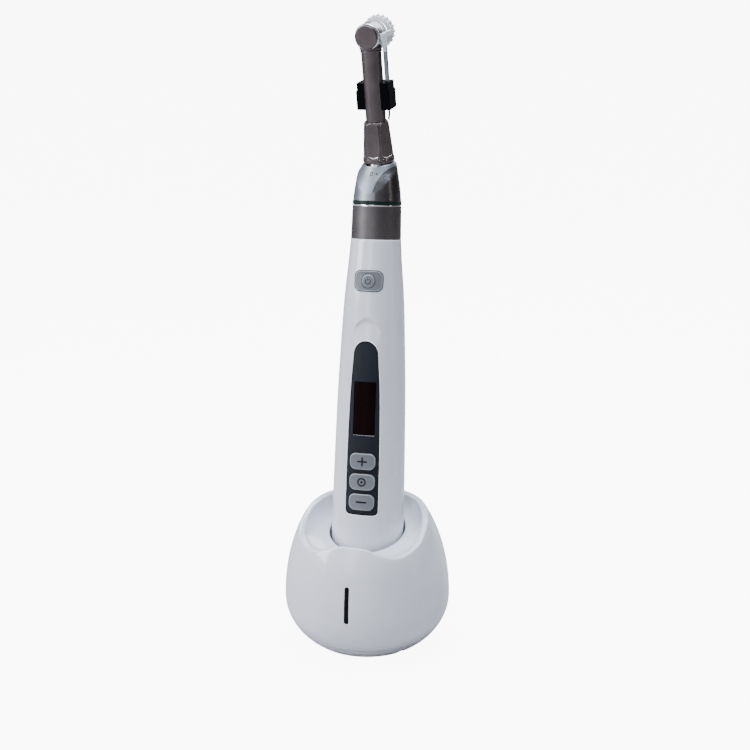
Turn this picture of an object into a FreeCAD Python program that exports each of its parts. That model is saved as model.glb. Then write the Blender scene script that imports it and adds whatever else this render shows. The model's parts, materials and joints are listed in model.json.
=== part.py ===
import FreeCAD, Part
import math
import os

# Cordless endodontic motor standing in its charging dock.  Millimetres, +Z up,
# origin on the floor under the dock's centre, front of the object towards -Y.

V = FreeCAD.Vector

# ---- driving dimensions -------------------------------------------------------
DOCK_R = 35.5            # widest radius of the dock
DOCK_BELT_Z = 20.5       # height of the widest ring
DOCK_UP = 55.0           # upper semi-axis of the dock's outline
DOCK_DOWN = 26.1         # lower semi-axis of the dock's outline
DOCK_SPLIT_Z = 7.0       # parting line between shell and bottom tray
DOCK_WALL = 2.2
FOOT_GAP = 0.8           # rubber ring stands this much below the tray

LEAN = 7.0               # backward lean of the handpiece, degrees
SEAT_T = 24.2            # handpiece length below the point (0, 0, 46)
TURN = 7.5               # contra-angle turned about the handpiece axis, degrees
BEND = 16.0              # bend of the contra-angle, degrees
BEND_T = 186.2           # bend point along the handpiece axis

BODY_TOP = 151.5         # top of the white housing
BODY_WALL = 2.0
CAP_TOP = 6.0            # top of the end cap

HEAD_S = 47.9            # head axis above the bend point
HEAD_R = 5.15
NECK_R = 4.1
SHANK_BORE_R = 1.18      # bore for a 2.35 mm shank

SPIGOT_R = 5.8
SPIGOT_TOP = 177.5

SUN_TEETH = 18
PLANET_TEETH = 9
RING_TEETH = 36
PLANET_R = 1.0           # pitch radius of each planet; the sun's is twice that
SUN_R = PLANET_R * SUN_TEETH / PLANET_TEETH
RING_R = PLANET_R * RING_TEETH / PLANET_TEETH
PLANET_AT = 20.0         # angle of the first planet
STAGE_Z0 = 178.7         # lower face of the planet gears
STAGE_Z1 = 180.7         # upper face of the planet gears
BEND_TEETH = 14          # the equal bevel pair at the bend
PINION_TEETH = 12        # bevel pair in the head
HEAD_GEAR_TEETH = 16
PINION_CONE = math.degrees(math.atan2(PINION_TEETH, HEAD_GEAR_TEETH))

# ---- frames -------------------------------------------------------------------
LEAN_RAD = math.radians(LEAN)
HAND = FreeCAD.Placement(
    V(0, -SEAT_T * math.sin(LEAN_RAD), 46 - SEAT_T * math.cos(LEAN_RAD)),
    FreeCAD.Rotation(V(1, 0, 0), -LEAN))
ANGLE = HAND.multiply(FreeCAD.Placement(V(0, 0, 0), FreeCAD.Rotation(V(0, 0, 1), -TURN)))
NECK = ANGLE.multiply(FreeCAD.Placement(V(0, 0, BEND_T), FreeCAD.Rotation(V(1, 0, 0), BEND)))

NODES = {}


def keep(name, shape, frame=None):
    """Store a finished node, moved from its own frame into the row frame."""
    shape = shape.copy()
    if frame is not None:
        shape.Placement = frame.multiply(shape.Placement)
    NODES[name] = shape


# ---- small builders -----------------------------------------------------------
def cylinder(r, z0, z1, x=0.0, y=0.0):
    return Part.makeCylinder(r, z1 - z0, V(x, y, z0))


def tube(r_out, r_in, z0, z1, x=0.0, y=0.0):
    inner = Part.makeCylinder(r_in, z1 - z0 + 2, V(x, y, z0 - 1))
    return cylinder(r_out, z0, z1, x, y).cut(inner)


def block(x0, x1, y0, y1, z0, z1):
    return Part.makeBox(x1 - x0, y1 - y0, z1 - z0, V(x0, y0, z0))


def cross_cylinder(r, y0, y1, x=0.0, z=0.0):
    """A cylinder along Y."""
    return Part.makeCylinder(r, y1 - y0, V(x, y0, z), V(0, 1, 0))


def turned(start, *steps):
    """Revolve a closed outline about Z.  Steps are (r, z) for a line,
    ('arc', r, z, r, z) for an arc through a point, ('curve', points) for a spline."""
    edges = []
    here = V(start[0], 0, start[1])
    for step in steps:
        if step[0] == "arc":
            middle = V(step[1], 0, step[2])
            end = V(step[3], 0, step[4])
            edges.append(Part.Arc(here, middle, end).toShape())
        elif step[0] == "curve":
            points = [here] + [V(r, 0, z) for r, z in step[1]]
            spline = Part.BSplineCurve()
            spline.interpolate(points)
            edges.append(spline.toShape())
            end = points[-1]
        else:
            end = V(step[0], 0, step[1])
            edges.append(Part.makeLine(here, end))
        here = end
    first = V(start[0], 0, start[1])
    if here.distanceToPoint(first) > 1e-6:
        edges.append(Part.makeLine(here, first))
    return Part.Face(Part.Wire(edges)).revolve(V(0, 0, 0), V(0, 0, 1), 360)


def pad_outline(half_w, z0, z1, r):
    """A rounded rectangle in the XZ plane as a closed wire."""
    k = r * (1 - math.sqrt(0.5))
    x = half_w
    pts = [
        (V(-x + r, 0, z0), V(x - r, 0, z0), None),
        (V(x - r, 0, z0), V(x - k, 0, z0 + k), V(x, 0, z0 + r)),
        (V(x, 0, z0 + r), V(x, 0, z1 - r), None),
        (V(x, 0, z1 - r), V(x - k, 0, z1 - k), V(x - r, 0, z1)),
        (V(x - r, 0, z1), V(-x + r, 0, z1), None),
        (V(-x + r, 0, z1), V(-x + k, 0, z1 - k), V(-x, 0, z1 - r)),
        (V(-x, 0, z1 - r), V(-x, 0, z0 + r), None),
        (V(-x, 0, z0 + r), V(-x + k, 0, z0 + k), V(-x + r, 0, z0)),
    ]
    edges = []
    for a, b, c in pts:
        if c is None:
            edges.append(Part.makeLine(a, b))
        else:
            edges.append(Part.Arc(a, b, c).toShape())
    return Part.Wire(edges)


def prism(wire, y0, y1):
    """Extrude an XZ outline along Y from y0 to y1."""
    face = Part.Face(wire)
    face.translate(V(0, y0, 0))
    return face.extrude(V(0, y1 - y0, 0))


# ---- dock ---------------------------------------------------------------------
def dock_radius(z, inset=0.0):
    """Radius of the dock's outline at height z, moved inwards by inset."""
    r = DOCK_R - inset
    half = (DOCK_UP if z > DOCK_BELT_Z else DOCK_DOWN) - inset
    q = (z - DOCK_BELT_Z) / half
    return r * math.sqrt(max(0.0, 1.0 - q * q))


def dock_body(inset, z_low, z_high=74.0):
    """Solid of revolution bounded by the dock's outline moved inwards by inset."""
    up = DOCK_UP - inset
    down = DOCK_DOWN - inset
    wide = DOCK_R - inset
    top = min(z_high, DOCK_BELT_Z + up - 0.4)
    centre = V(0, 0, DOCK_BELT_Z)
    upper = Part.Ellipse(V(0, 0, DOCK_BELT_Z + up), V(wide, 0, DOCK_BELT_Z), centre)
    lower = Part.Ellipse(V(wide, 0, DOCK_BELT_Z), V(0, 0, DOCK_BELT_Z - down), centre)
    upper_arc = Part.ArcOfEllipse(upper, math.acos((top - DOCK_BELT_Z) / up), math.pi / 2).toShape()
    lower_arc = Part.ArcOfEllipse(lower, 0.0, math.asin((DOCK_BELT_Z - z_low) / down)).toShape()
    edges = [
        Part.makeLine(V(0, 0, top), V(dock_radius(top, inset), 0, top)),
        upper_arc,
        lower_arc,
        Part.makeLine(V(dock_radius(z_low, inset), 0, z_low), V(0, 0, z_low)),
        Part.makeLine(V(0, 0, z_low), V(0, 0, top)),
    ]
    return Part.Face(Part.Wire(edges)).revolve(V(0, 0, 0), V(0, 0, 1), 360)


# Height of the dock's rim at each angle from the front, the same on both sides: a bump
# at the front, a low spout on each side of it, and a level back.
RIM_HEIGHTS = [(0, 52.3), (12, 51.9), (20, 50.2), (29, 48.5), (40, 47.8), (51, 49.0), (62, 50.9), (72, 53.6),
               (87, 56.5), (105, 59.3), (125, 60.2), (180, 60.4)]
SOCKET_R = 16.1          # hole for the handpiece
FLOOR_Z = 49.7           # height of the sloping dish floor on the dock's axis
FLOOR_SLOPE = 0.275      # rise of the dish floor towards the back
LIP_WIDTH = 2.3          # width of the rounded lip inside the rim


def rim_curve():
    """The rim's height as a smooth curve over the angle, mirrored about the front and back."""
    table = [(-angle, z) for angle, z in reversed(RIM_HEIGHTS[1:])] + RIM_HEIGHTS
    curve = Part.BSplineCurve()
    curve.interpolate([V(angle, z, 0) for angle, z in table])
    return curve


def dish_ring(curve, step, grow):
    """One closed ring of the dish.  step 0 is outside the rim, 1 the rim, 2 the lip's inner
    edge, 3 to 6 the bowl, 7 the floor under the socket's edge."""
    points = []
    for k in range(36):
        angle = 10.0 * k - 180.0
        z = curve.value(curve.parameter(V(angle, 50, 0))).y
        out = V(math.sin(math.radians(angle)), -math.cos(math.radians(angle)), 0)
        rim = out * dock_radius(z) + V(0, 0, z)
        side = min(1.0, max(0.0, (z - 48.0) / 6.0))
        lip = rim - out * LIP_WIDTH - V(0, 0, 0.15 + 0.45 * side)
        foot = out * 14.2
        foot.z = FLOOR_Z + FLOOR_SLOPE * foot.y
        reach = dock_radius(z) - LIP_WIDTH - 14.2
        steep = lip - out * (0.12 * reach) - V(0, 0, 0.62 * (lip.z - foot.z))
        level = foot + out * (0.55 * reach) + V(0, 0, 0.55 * reach * FLOOR_SLOPE * out.y)
        if step == 0:
            point = rim + out * 2.6 + V(0, 0, 0.25)
        elif step == 1:
            point = rim
        elif step == 2:
            point = lip
        else:
            u = (step - 2) / 5.0
            point = (lip * (1 - u) ** 3 + steep * (3 * u * (1 - u) ** 2) + level * (3 * u * u * (1 - u))
                     + foot * u ** 3)
        points.append(point + out * (0.8 * grow) - V(0, 0, grow))
    ring = Part.BSplineCurve()
    ring.interpolate(points, PeriodicFlag=True)
    return Part.Wire([ring.toShape()])


def crater_tool(grow=0.0):
    """Everything above the dock's rim and dish."""
    curve = rim_curve()
    rings = [dish_ring(curve, step, grow) for step in range(8)]
    skin = Part.makeLoft(rings, False, False)
    floor = Part.Face(rings[-1])
    wall = Part.makeLoft([rings[0], Part.Wire([Part.Circle(V(0, 0, 95), V(0, 0, 1), 45).toShape()])], False, True)
    lid = Part.Face(Part.Wire([Part.Circle(V(0, 0, 95), V(0, 0, 1), 45).toShape()]))
    shell = Part.Shell(skin.Faces + [floor] + wall.Faces + [lid])
    return Part.Solid(shell)


def in_hand(shape):
    shape = shape.copy()
    shape.Placement = HAND.multiply(shape.Placement)
    return shape


def build_dock():
    outer = dock_body(0.0, DOCK_SPLIT_Z).cut(crater_tool())
    inner = dock_body(DOCK_WALL, DOCK_SPLIT_Z - 1).cut(crater_tool(DOCK_WALL))
    shell = outer.cut(inner).cut(in_hand(cylinder(SOCKET_R, 0, 60.0)))
    slot = prism(pad_outline(0.98, 21.3, 37.1, 0.97), -40, -20)
    shell = shell.cut(slot)
    shell = shell.cut(cross_cylinder(4.4, 25, 40, 0, 14.0))
    bosses = []
    for sx in (-1, 1):
        for sy in (-1, 1):
            boss = tube(2.6, 0.9, 8.2, 16.0, sx * 19.0, sy * 16.0)
            length = math.hypot(19.0, 16.0)
            wall = block(2.2, 33.0 - length + 2.0, -0.8, 0.8, 8.2, 16.0)
            wall.rotate(V(0, 0, 0), V(0, 0, 1), math.degrees(math.atan2(sy * 16.0, sx * 19.0)))
            wall.translate(V(sx * 19.0, sy * 16.0, 0))
            bosses.append(boss.fuse(wall.common(dock_body(0.9, DOCK_SPLIT_Z))))
    for boss in bosses:
        shell = shell.fuse(boss)
    keep("dock_shell", shell.removeSplitter())

    tray_out = dock_body(0.0, FOOT_GAP).common(block(-50, 50, -50, 50, 0, DOCK_SPLIT_Z))
    tray_in = dock_body(2.0, FOOT_GAP + 2.2).common(block(-50, 50, -50, 50, 0, 30))
    lip = tube(dock_radius(DOCK_SPLIT_Z, DOCK_WALL) - 0.15, dock_radius(DOCK_SPLIT_Z, DOCK_WALL) - 1.5,
               4.5, 8.1)
    tray = tray_out.cut(tray_in).fuse(lip.common(dock_body(DOCK_WALL + 0.1, 4.0)))
    tray = tray.cut(tube(20.6, 17.4, -1, 1.9))
    for sx in (-1, 1):
        for sy in (-1, 1):
            post = cylinder(3.0, 3.0, 8.1, sx * 19.0, sy * 16.0)
            post = post.common(dock_body(DOCK_WALL + 0.1, 3.0))
            tray = tray.fuse(post)
            tray = tray.cut(cylinder(1.3, -1, 9, sx * 19.0, sy * 16.0))
            tray = tray.cut(cylinder(2.4, -1, 6.0, sx * 19.0, sy * 16.0))
    keep("dock_bottom_tray", tray.removeSplitter())

    ring = turned((17.5, 1.85), (17.5, 0.5), ("arc", 17.9, 0.1, 18.4, 0.0), (19.6, 0.0),
                  ("arc", 20.1, 0.1, 20.5, 0.5), (20.5, 1.85))
    for sx in (-1, 1):
        for sy in (-1, 1):
            ring = ring.cut(cylinder(2.6, -1, 9, sx * 19.0, sy * 16.0))
    keep("dock_foot_ring", ring)

    screws = []
    for sx in (-1, 1):
        for sy in (-1, 1):
            head = turned((0, 4.2), (1.9, 4.2), ("arc", 2.15, 4.4, 2.2, 4.8), (2.2, 5.95), (1.0, 5.95),
                          (0.85, 6.2), (0.85, 14.4), (0.4, 15.2), (0, 15.2))
            cross = block(-1.2, 1.2, -0.22, 0.22, 3.8, 5.2).fuse(block(-0.22, 0.22, -1.2, 1.2, 3.8, 5.2))
            screw = head.cut(cross)
            screw.translate(V(sx * 19.0, sy * 16.0, 0))
            screws.append(screw)
    keep("dock_screws", Part.makeCompound(screws))

    ballast = tube(15.4, 4.0, 3.2, 7.4)
    for x, y in ((-6.5, 11.5), (6.5, 11.5), (-6.5, -11.5), (6.5, -11.5)):
        ballast = ballast.fuse(cylinder(1.6, 7.0, 9.6, x, y))
    keep("dock_ballast", ballast)
    board = block(-14.0, 14.0, -16.5, 16.5, 9.6, 11.0).cut(cylinder(2.0, 8, 12))
    chip = block(-3.5, 3.5, 2.0, 9.0, 11.0, 12.4)
    coil = cylinder(3.2, 11.0, 14.2, -8.0, 8.5)
    led = block(-0.9, 0.9, -16.4, -14.8, 11.0, 12.0)
    keep("dock_circuit_board", board.fuse(chip).fuse(coil).fuse(led))

    lens = dock_body(0.25, DOCK_SPLIT_Z).cut(dock_body(3.2, DOCK_SPLIT_Z - 1))
    lens = lens.common(prism(pad_outline(0.93, 21.35, 37.05, 0.92), -40, -20))
    keep("dock_light_pipe", lens)

    jack = block(-4.0, 4.0, 24.0, 32.2, 11.2, 18.2).cut(cross_cylinder(2.75, 25.5, 33, 0, 14.6))
    jack = jack.common(dock_body(DOCK_WALL + 0.1, DOCK_SPLIT_Z))
    jack = jack.fuse(cross_cylinder(4.2, 29.0, 33.6, 0, 14.0).cut(cross_cylinder(2.75, 25.5, 40, 0, 14.6)).common(
        dock_body(0.5, DOCK_SPLIT_Z)))
    centre_pin = cross_cylinder(1.0, 25.0, 31.5, 0, 14.6).cut(cross_cylinder(0.4, 26.6, 40, 0, 14.6))
    keep("dock_power_inlet", jack.fuse(centre_pin).removeSplitter())

    liner = turned((0, -2.2), (17.9, -2.2), (17.9, 33.0), (16.5, 33.0), (16.5, 1.2), ("arc", 16.1, 0.2, 15.0, -0.2),
                   (0, -0.2))
    pin_holes = cylinder(1.3, -5, 2, -4.5, 0).fuse(cylinder(1.3, -5, 2, 4.5, 0))
    liner = in_hand(liner.cut(pin_holes)).cut(shell)
    keep("dock_socket_liner", max(liner.Solids, key=lambda solid: solid.Volume))
    contact_board = cylinder(8.5, -3.6, -2.25)
    for x in (-4.5, 4.5):
        contact_board = contact_board.fuse(cylinder(1.25, -2.4, -0.6, x, 0))
        contact_board = contact_board.cut(cylinder(0.8, -2.3, 1.0, x, 0))
    keep("dock_contact_board", contact_board, HAND)
    for name, x in (("dock_charge_pin_left", -4.5), ("dock_charge_pin_right", 4.5)):
        pin = turned((0, -1.2), (0.74, -1.2), (0.74, 0.0), (0.5, 0.28), (0, 0.28))
        pin.translate(V(x, 0, 0))
        keep(name, pin, HAND)


# ---- handpiece ----------------------------------------------------------------
# height, half width, front depth, back depth
STATIONS = [
    (6.0, 15.55, 12.9, 15.55),
    (30.0, 15.45, 12.8, 15.45),
    (49.0, 15.2, 12.65, 15.2),
    (70.0, 14.8, 12.5, 14.8),
    (90.0, 14.3, 12.3, 14.3),
    (110.0, 13.45, 12.15, 13.45),
    (121.0, 12.9, 12.0, 12.9),
    (131.0, 12.2, 11.75, 12.2),
    (141.0, 11.25, 11.2, 11.25),
    (151.5, 10.45, 10.45, 10.45),
]


def body_section(t, half_w, front, back, inset):
    points = []
    for i in range(24):
        a = 2 * math.pi * i / 24.0
        depth = front if math.sin(a) < 0 else back
        points.append(V((half_w - inset) * math.cos(a), (depth - inset) * math.sin(a), t))
    spline = Part.BSplineCurve()
    spline.interpolate(Points=points, PeriodicFlag=True)
    return Part.Wire([spline.toShape()])


def body_solid(inset):
    wires = [body_section(t, w, f, b, inset) for t, w, f, b in STATIONS]
    return Part.makeLoft(wires, True, False)


def panel_outline(inset=0.0):
    i = inset
    low_l = V(-7 + i, 0, 38.6)
    low_r = V(7 - i, 0, 38.6)
    side = [low_r, V(6.8 - i, 0, 65), V(6.25 - i, 0, 88), V(5.25 - i, 0, 104)]
    mirrored = [V(-p.x, 0, p.z) for p in reversed(side)]
    right = Part.BSplineCurve()
    right.interpolate(side)
    left = Part.BSplineCurve()
    left.interpolate(mirrored)
    k = 0.6
    edges = [
        Part.makeLine(V(-4.9, 0, 36.5 + i), V(4.9, 0, 36.5 + i)),
        Part.Arc(V(4.9, 0, 36.5 + i), V(7 - i - k, 0, 36.5 + i + k), low_r).toShape(),
        right.toShape(),
        Part.Arc(side[-1], V(0, 0, 110 - i), mirrored[0]).toShape(),
        left.toShape(),
        Part.Arc(low_l, V(-7 + i + k, 0, 36.5 + i + k), V(-4.9, 0, 36.5 + i)).toShape(),
    ]
    return Part.Wire(edges)


BUTTONS = [("minus_button", 42.2), ("select_button", 50.8), ("plus_button", 59.5)]
BUTTON_HALF_W = 5.6
BUTTON_HALF_H = 3.6
SCREEN = (4.7, 70.4, 93.0)
POWER_T = 134.7


def build_housing(outer, inner):
    shell = outer.cut(inner)
    panel_cut = prism(panel_outline(-0.03), -30, 0).cut(body_solid(1.42))
    ledge_cut = prism(panel_outline(1.0), -30, 0)
    front = shell.common(block(-30, 30, -30, 0, CAP_TOP, BODY_TOP))
    front = front.cut(panel_cut).cut(ledge_cut)
    plate_cut = prism(pad_outline(5.93, 130.47, 138.93, 2.6), -30, 0)
    front = front.cut(plate_cut)
    thumb = Part.makeSphere(9.0)
    stretch = FreeCAD.Matrix()
    stretch.scale(0.56, 1.0, 0.62)
    thumb = thumb.transformGeometry(stretch)
    thumb.translate(V(0, -20.35, 114.6))
    front = front.cut(thumb)
    keep("front_housing", front, HAND)
    rear = shell.common(block(-30, 30, 0, 30, CAP_TOP, BODY_TOP))
    keep("rear_housing", rear, HAND)


def build_handpiece():
    outer = body_solid(0.0)
    inner = body_solid(BODY_WALL)
    build_housing(outer, inner)

    cap_out = Part.makeLoft([body_section(CAP_TOP, 15.55, 12.9, 15.55, 0.0),
                             body_section(3.2, 15.3, 12.7, 15.3, 0.0),
                             body_section(1.0, 14.2, 11.7, 14.2, 0.0),
                             body_section(0.0, 12.4, 10.0, 12.4, 0.0)], True, False)
    plug = body_solid(BODY_WALL + 0.1).common(block(-30, 30, -30, 30, CAP_TOP, CAP_TOP + 5))
    end_cap = cap_out.fuse(plug).cut(block(-9, 9, -6, 9, 3.0, 20))
    for x in (-4.5, 4.5):
        end_cap = end_cap.cut(cylinder(2.4, -1, 0.9, x, 0))
        end_cap = end_cap.cut(cylinder(0.9, -1, 4, x, 0))
    keep("end_cap", end_cap.removeSplitter(), HAND)
    pads = [cylinder(2.35, 0.42, 0.88, x, 0).fuse(cylinder(0.8, 0.88, 4.2, x, 0)) for x in (-4.5, 4.5)]
    keep("charge_contacts", Part.makeCompound(pads), HAND)

    strip = body_solid(0.35).cut(body_solid(1.4))
    panel = strip.common(prism(panel_outline(0.0), -30, 0))
    half_w, z0, z1 = SCREEN
    panel = panel.cut(prism(pad_outline(half_w, z0, z1, 0.5), -30, 0))
    for name, t in BUTTONS:
        hole = prism(pad_outline(BUTTON_HALF_W, t - BUTTON_HALF_H, t + BUTTON_HALF_H, 2.25), -30, 0)
        panel = panel.cut(hole)
    keep("display_panel", panel, HAND)

    window = body_solid(0.3).cut(body_solid(1.3)).common(
        prism(pad_outline(half_w - 0.03, z0 + 0.03, z1 - 0.03, 0.48), -30, 0))
    keep("display_window", window, HAND)
    keep("display_module", block(-5.4, 5.4, -9.1, -7.6, 68.0, 95.0), HAND)

    cap_skin = body_solid(-0.55).cut(body_solid(1.35))
    for name, t in BUTTONS:
        shape = prism(pad_outline(BUTTON_HALF_W - 0.14, t - BUTTON_HALF_H + 0.14, t + BUTTON_HALF_H - 0.14, 2.1),
                      -30, 0)
        button = cap_skin.common(shape)
        stem = cross_cylinder(1.4, -11.9, -9.75, 0, t)
        keep(name, button.fuse(stem).removeSplitter(), HAND)

    plate = body_solid(0.12).cut(body_solid(1.7)).common(
        prism(pad_outline(5.9, 130.5, 138.9, 2.58), -30, 0))
    plate = plate.cut(cross_cylinder(2.95, -30, 0, 0, POWER_T))
    keep("power_plate", plate, HAND)
    front_y = -11.6
    knob = Part.makeCylinder(2.8, 1.75, V(0, front_y - 0.75, POWER_T), V(0, 1, 0))
    knob = knob.makeFillet(0.35, [e for e in knob.Edges if abs(e.BoundBox.YMin - (front_y - 0.75)) < 1e-6 and
                                  e.BoundBox.YLength < 1e-6])
    knob = knob.fuse(cross_cylinder(1.0, front_y + 1.0, front_y + 1.35, 0, POWER_T))
    keep("power_button", knob, HAND)

    board = block(-8.5, 8.5, -7.4, -6.2, 33.0, 92.0).fuse(block(-6.3, 6.3, -7.4, -6.2, 92.0, 108.0))
    parts = block(-6.5, 2.0, -6.2, -5.2, 97.0, 106.0).fuse(block(-4.0, 4.0, -6.2, -5.5, 60.0, 66.0))
    board = board.fuse(parts)
    for name, t in BUTTONS:
        board = board.fuse(block(-2.2, 2.2, -8.8, -7.4, t - 2.2, t + 2.2))
        board = board.fuse(cross_cylinder(1.2, -9.15, -8.8, 0, t))
    keep("main_circuit_board", board, HAND)
    power_board = block(-3.2, 3.2, -8.2, -7.6, 129.5, 139.5)
    power_switch = block(-1.6, 1.6, -8.9, -8.2, POWER_T - 1.6, POWER_T + 1.6)
    plunger = cross_cylinder(0.9, -9.75, -8.9, 0, POWER_T)
    keep("power_switch_board", power_board.fuse(power_switch).fuse(plunger), HAND)

    keep("battery_cell", cylinder(6.9, 31.0, 79.6, 0, 3.2).fuse(cylinder(2.4, 79.6, 80.6, 0, 3.2)), HAND)
    frame = block(-9.8, 9.8, -5.1, -3.9, 12.0, 110.0)
    frame = frame.cut(block(-7.0, 2.5, -6, -4.6, 96.5, 106.5))
    frame = frame.cut(block(-4.5, 4.5, -6, -4.9, 59.0, 67.0))
    lower = block(-8.0, 8.0, -3.9, 8.5, 27.0, 28.6)
    upper = block(-8.0, 8.0, -3.9, 8.5, 83.0, 84.6)
    keep("inner_chassis", frame.fuse(lower).fuse(upper), HAND)
    low_leaf = block(-3.0, 3.0, 0.2, 6.2, 28.6, 29.2).fuse(cylinder(1.5, 29.2, 31.0, 0, 3.2))
    top_leaf = block(-3.0, 3.0, 0.2, 6.2, 82.4, 83.0).fuse(cylinder(1.5, 80.6, 82.4, 0, 3.2))
    keep("battery_contacts", Part.makeCompound([low_leaf, top_leaf]), HAND)

    can = tube(7.5, 6.6, 117.0, 147.0)
    can = can.fuse(tube(7.5, 1.55, 147.0, 148.6)).fuse(tube(7.5, 1.55, 115.6, 117.0))
    can = can.fuse(tube(8.3, 1.7, 148.55, 151.4)).fuse(tube(8.3, 7.0, 144.0, 148.65))
    keep("motor_can", can.removeSplitter(), HAND)
    magnet = tube(3.2, 1.6, 121.0, 143.0)
    keep("motor_magnet", magnet.fuse(tube(6.55, 1.6, 117.05, 118.4)).fuse(tube(3.2, 1.6, 118.4, 121.0)), HAND)
    rotor = tube(5.9, 3.6, 121.5, 143.5).fuse(tube(5.9, 1.5, 143.5, 144.6))
    keep("motor_rotor", rotor, HAND)
    shaft = cylinder(1.5, 112.6, 165.6).fuse(cylinder(2.6, 165.6, 168.6))
    shaft = shaft.cut(block(-0.7, 0.7, -4, 4, 167.0, 169.0))
    keep("motor_shaft", shaft, HAND)

    collar = turned((8.9, 151.52), (10.45, 151.52), (10.4, 151.8), (10.1, 164.9), (9.8, 165.35), (5.87, 165.35),
                    (5.87, 163.2), (8.9, 163.2))
    keep("nose_collar", collar, HAND)
    spigot = turned((4.7, 160.4), (8.8, 160.4), (8.8, 163.15), (SPIGOT_R, 163.15), (SPIGOT_R, SPIGOT_TOP - 0.6),
                    (SPIGOT_R - 0.5, SPIGOT_TOP), (4.7, SPIGOT_TOP))
    grooves = [169.0, 172.2, 175.4]
    for z in grooves:
        spigot = spigot.cut(tube(SPIGOT_R + 1, 5.15, z - 0.55, z + 0.55))
    keep("coupling_spigot", spigot, HAND)
    rings = []
    for z in grooves:
        torus = Part.makeTorus(5.5, 0.33, V(0, 0, z))
        rings.append(torus)
    keep("spigot_seals", Part.makeCompound(rings), HAND)


# ---- gears --------------------------------------------------------------------
def tooth_wire(points):
    return Part.makePolygon(points + [points[0]])


def spur_gear(teeth, pitch_r, z0, z1, phase):
    """External gear with thin straight-sided teeth."""
    root = pitch_r - 0.24
    tip = pitch_r + 0.17
    gear = cylinder(root, z0, z1)
    for i in range(teeth):
        wire = tooth_wire([V(root - 0.15, -0.16, z0), V(tip, -0.075, z0), V(tip, 0.075, z0), V(root - 0.15, 0.16, z0)])
        tooth = Part.Face(wire).extrude(V(0, 0, z1 - z0))
        tooth.rotate(V(0, 0, 0), V(0, 0, 1), phase + 360.0 * i / teeth)
        gear = gear.fuse(tooth)
    return gear.removeSplitter()


def ring_gear(teeth, pitch_r, r_out, z0, z1, phase):
    root = pitch_r + 0.26
    tip = pitch_r - 0.16
    gear = tube(r_out, root, z0, z1)
    for i in range(teeth):
        wire = tooth_wire([V(root + 0.15, -0.16, z0), V(tip, -0.075, z0), V(tip, 0.075, z0), V(root + 0.15, 0.16, z0)])
        tooth = Part.Face(wire).extrude(V(0, 0, z1 - z0))
        tooth.rotate(V(0, 0, 0), V(0, 0, 1), phase + 360.0 * i / teeth)
        gear = gear.fuse(tooth)
    return gear.removeSplitter()


def bevel_gear(teeth, near, far, half_angle, width, bore, phase):
    """Bevel gear with its cone's tip at the origin and its back towards -Z.
    near and far are distances along the pitch cone."""
    d = math.radians(half_angle)
    add = 0.2
    ded = 0.28

    def on_cone(length, off):
        return (length * math.sin(d) + off * math.cos(d), -length * math.cos(d) + off * math.sin(d))

    inner = on_cone(near, -ded)
    outer = on_cone(far, -ded)
    back = outer[1] - 0.55
    gear = turned((bore, inner[1]), inner, outer, (outer[0], back), (bore, back))
    for i in range(teeth):
        ends = []
        for length in (near, far):
            scale = length / far
            half = width / 2.0 * scale
            r0, z0 = on_cone(length, -ded - 0.12)
            r1, z1 = on_cone(length, add)
            ends.append(tooth_wire([V(r0, -half * 1.25, z0), V(r1, -half * 0.6, z1), V(r1, half * 0.6, z1),
                                    V(r0, half * 1.25, z0)]))
        tooth = Part.makeLoft(ends, True, True)
        tooth.rotate(V(0, 0, 0), V(0, 0, 1), phase + 360.0 * i / teeth)
        gear = gear.fuse(tooth)
    return gear.removeSplitter()


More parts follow.
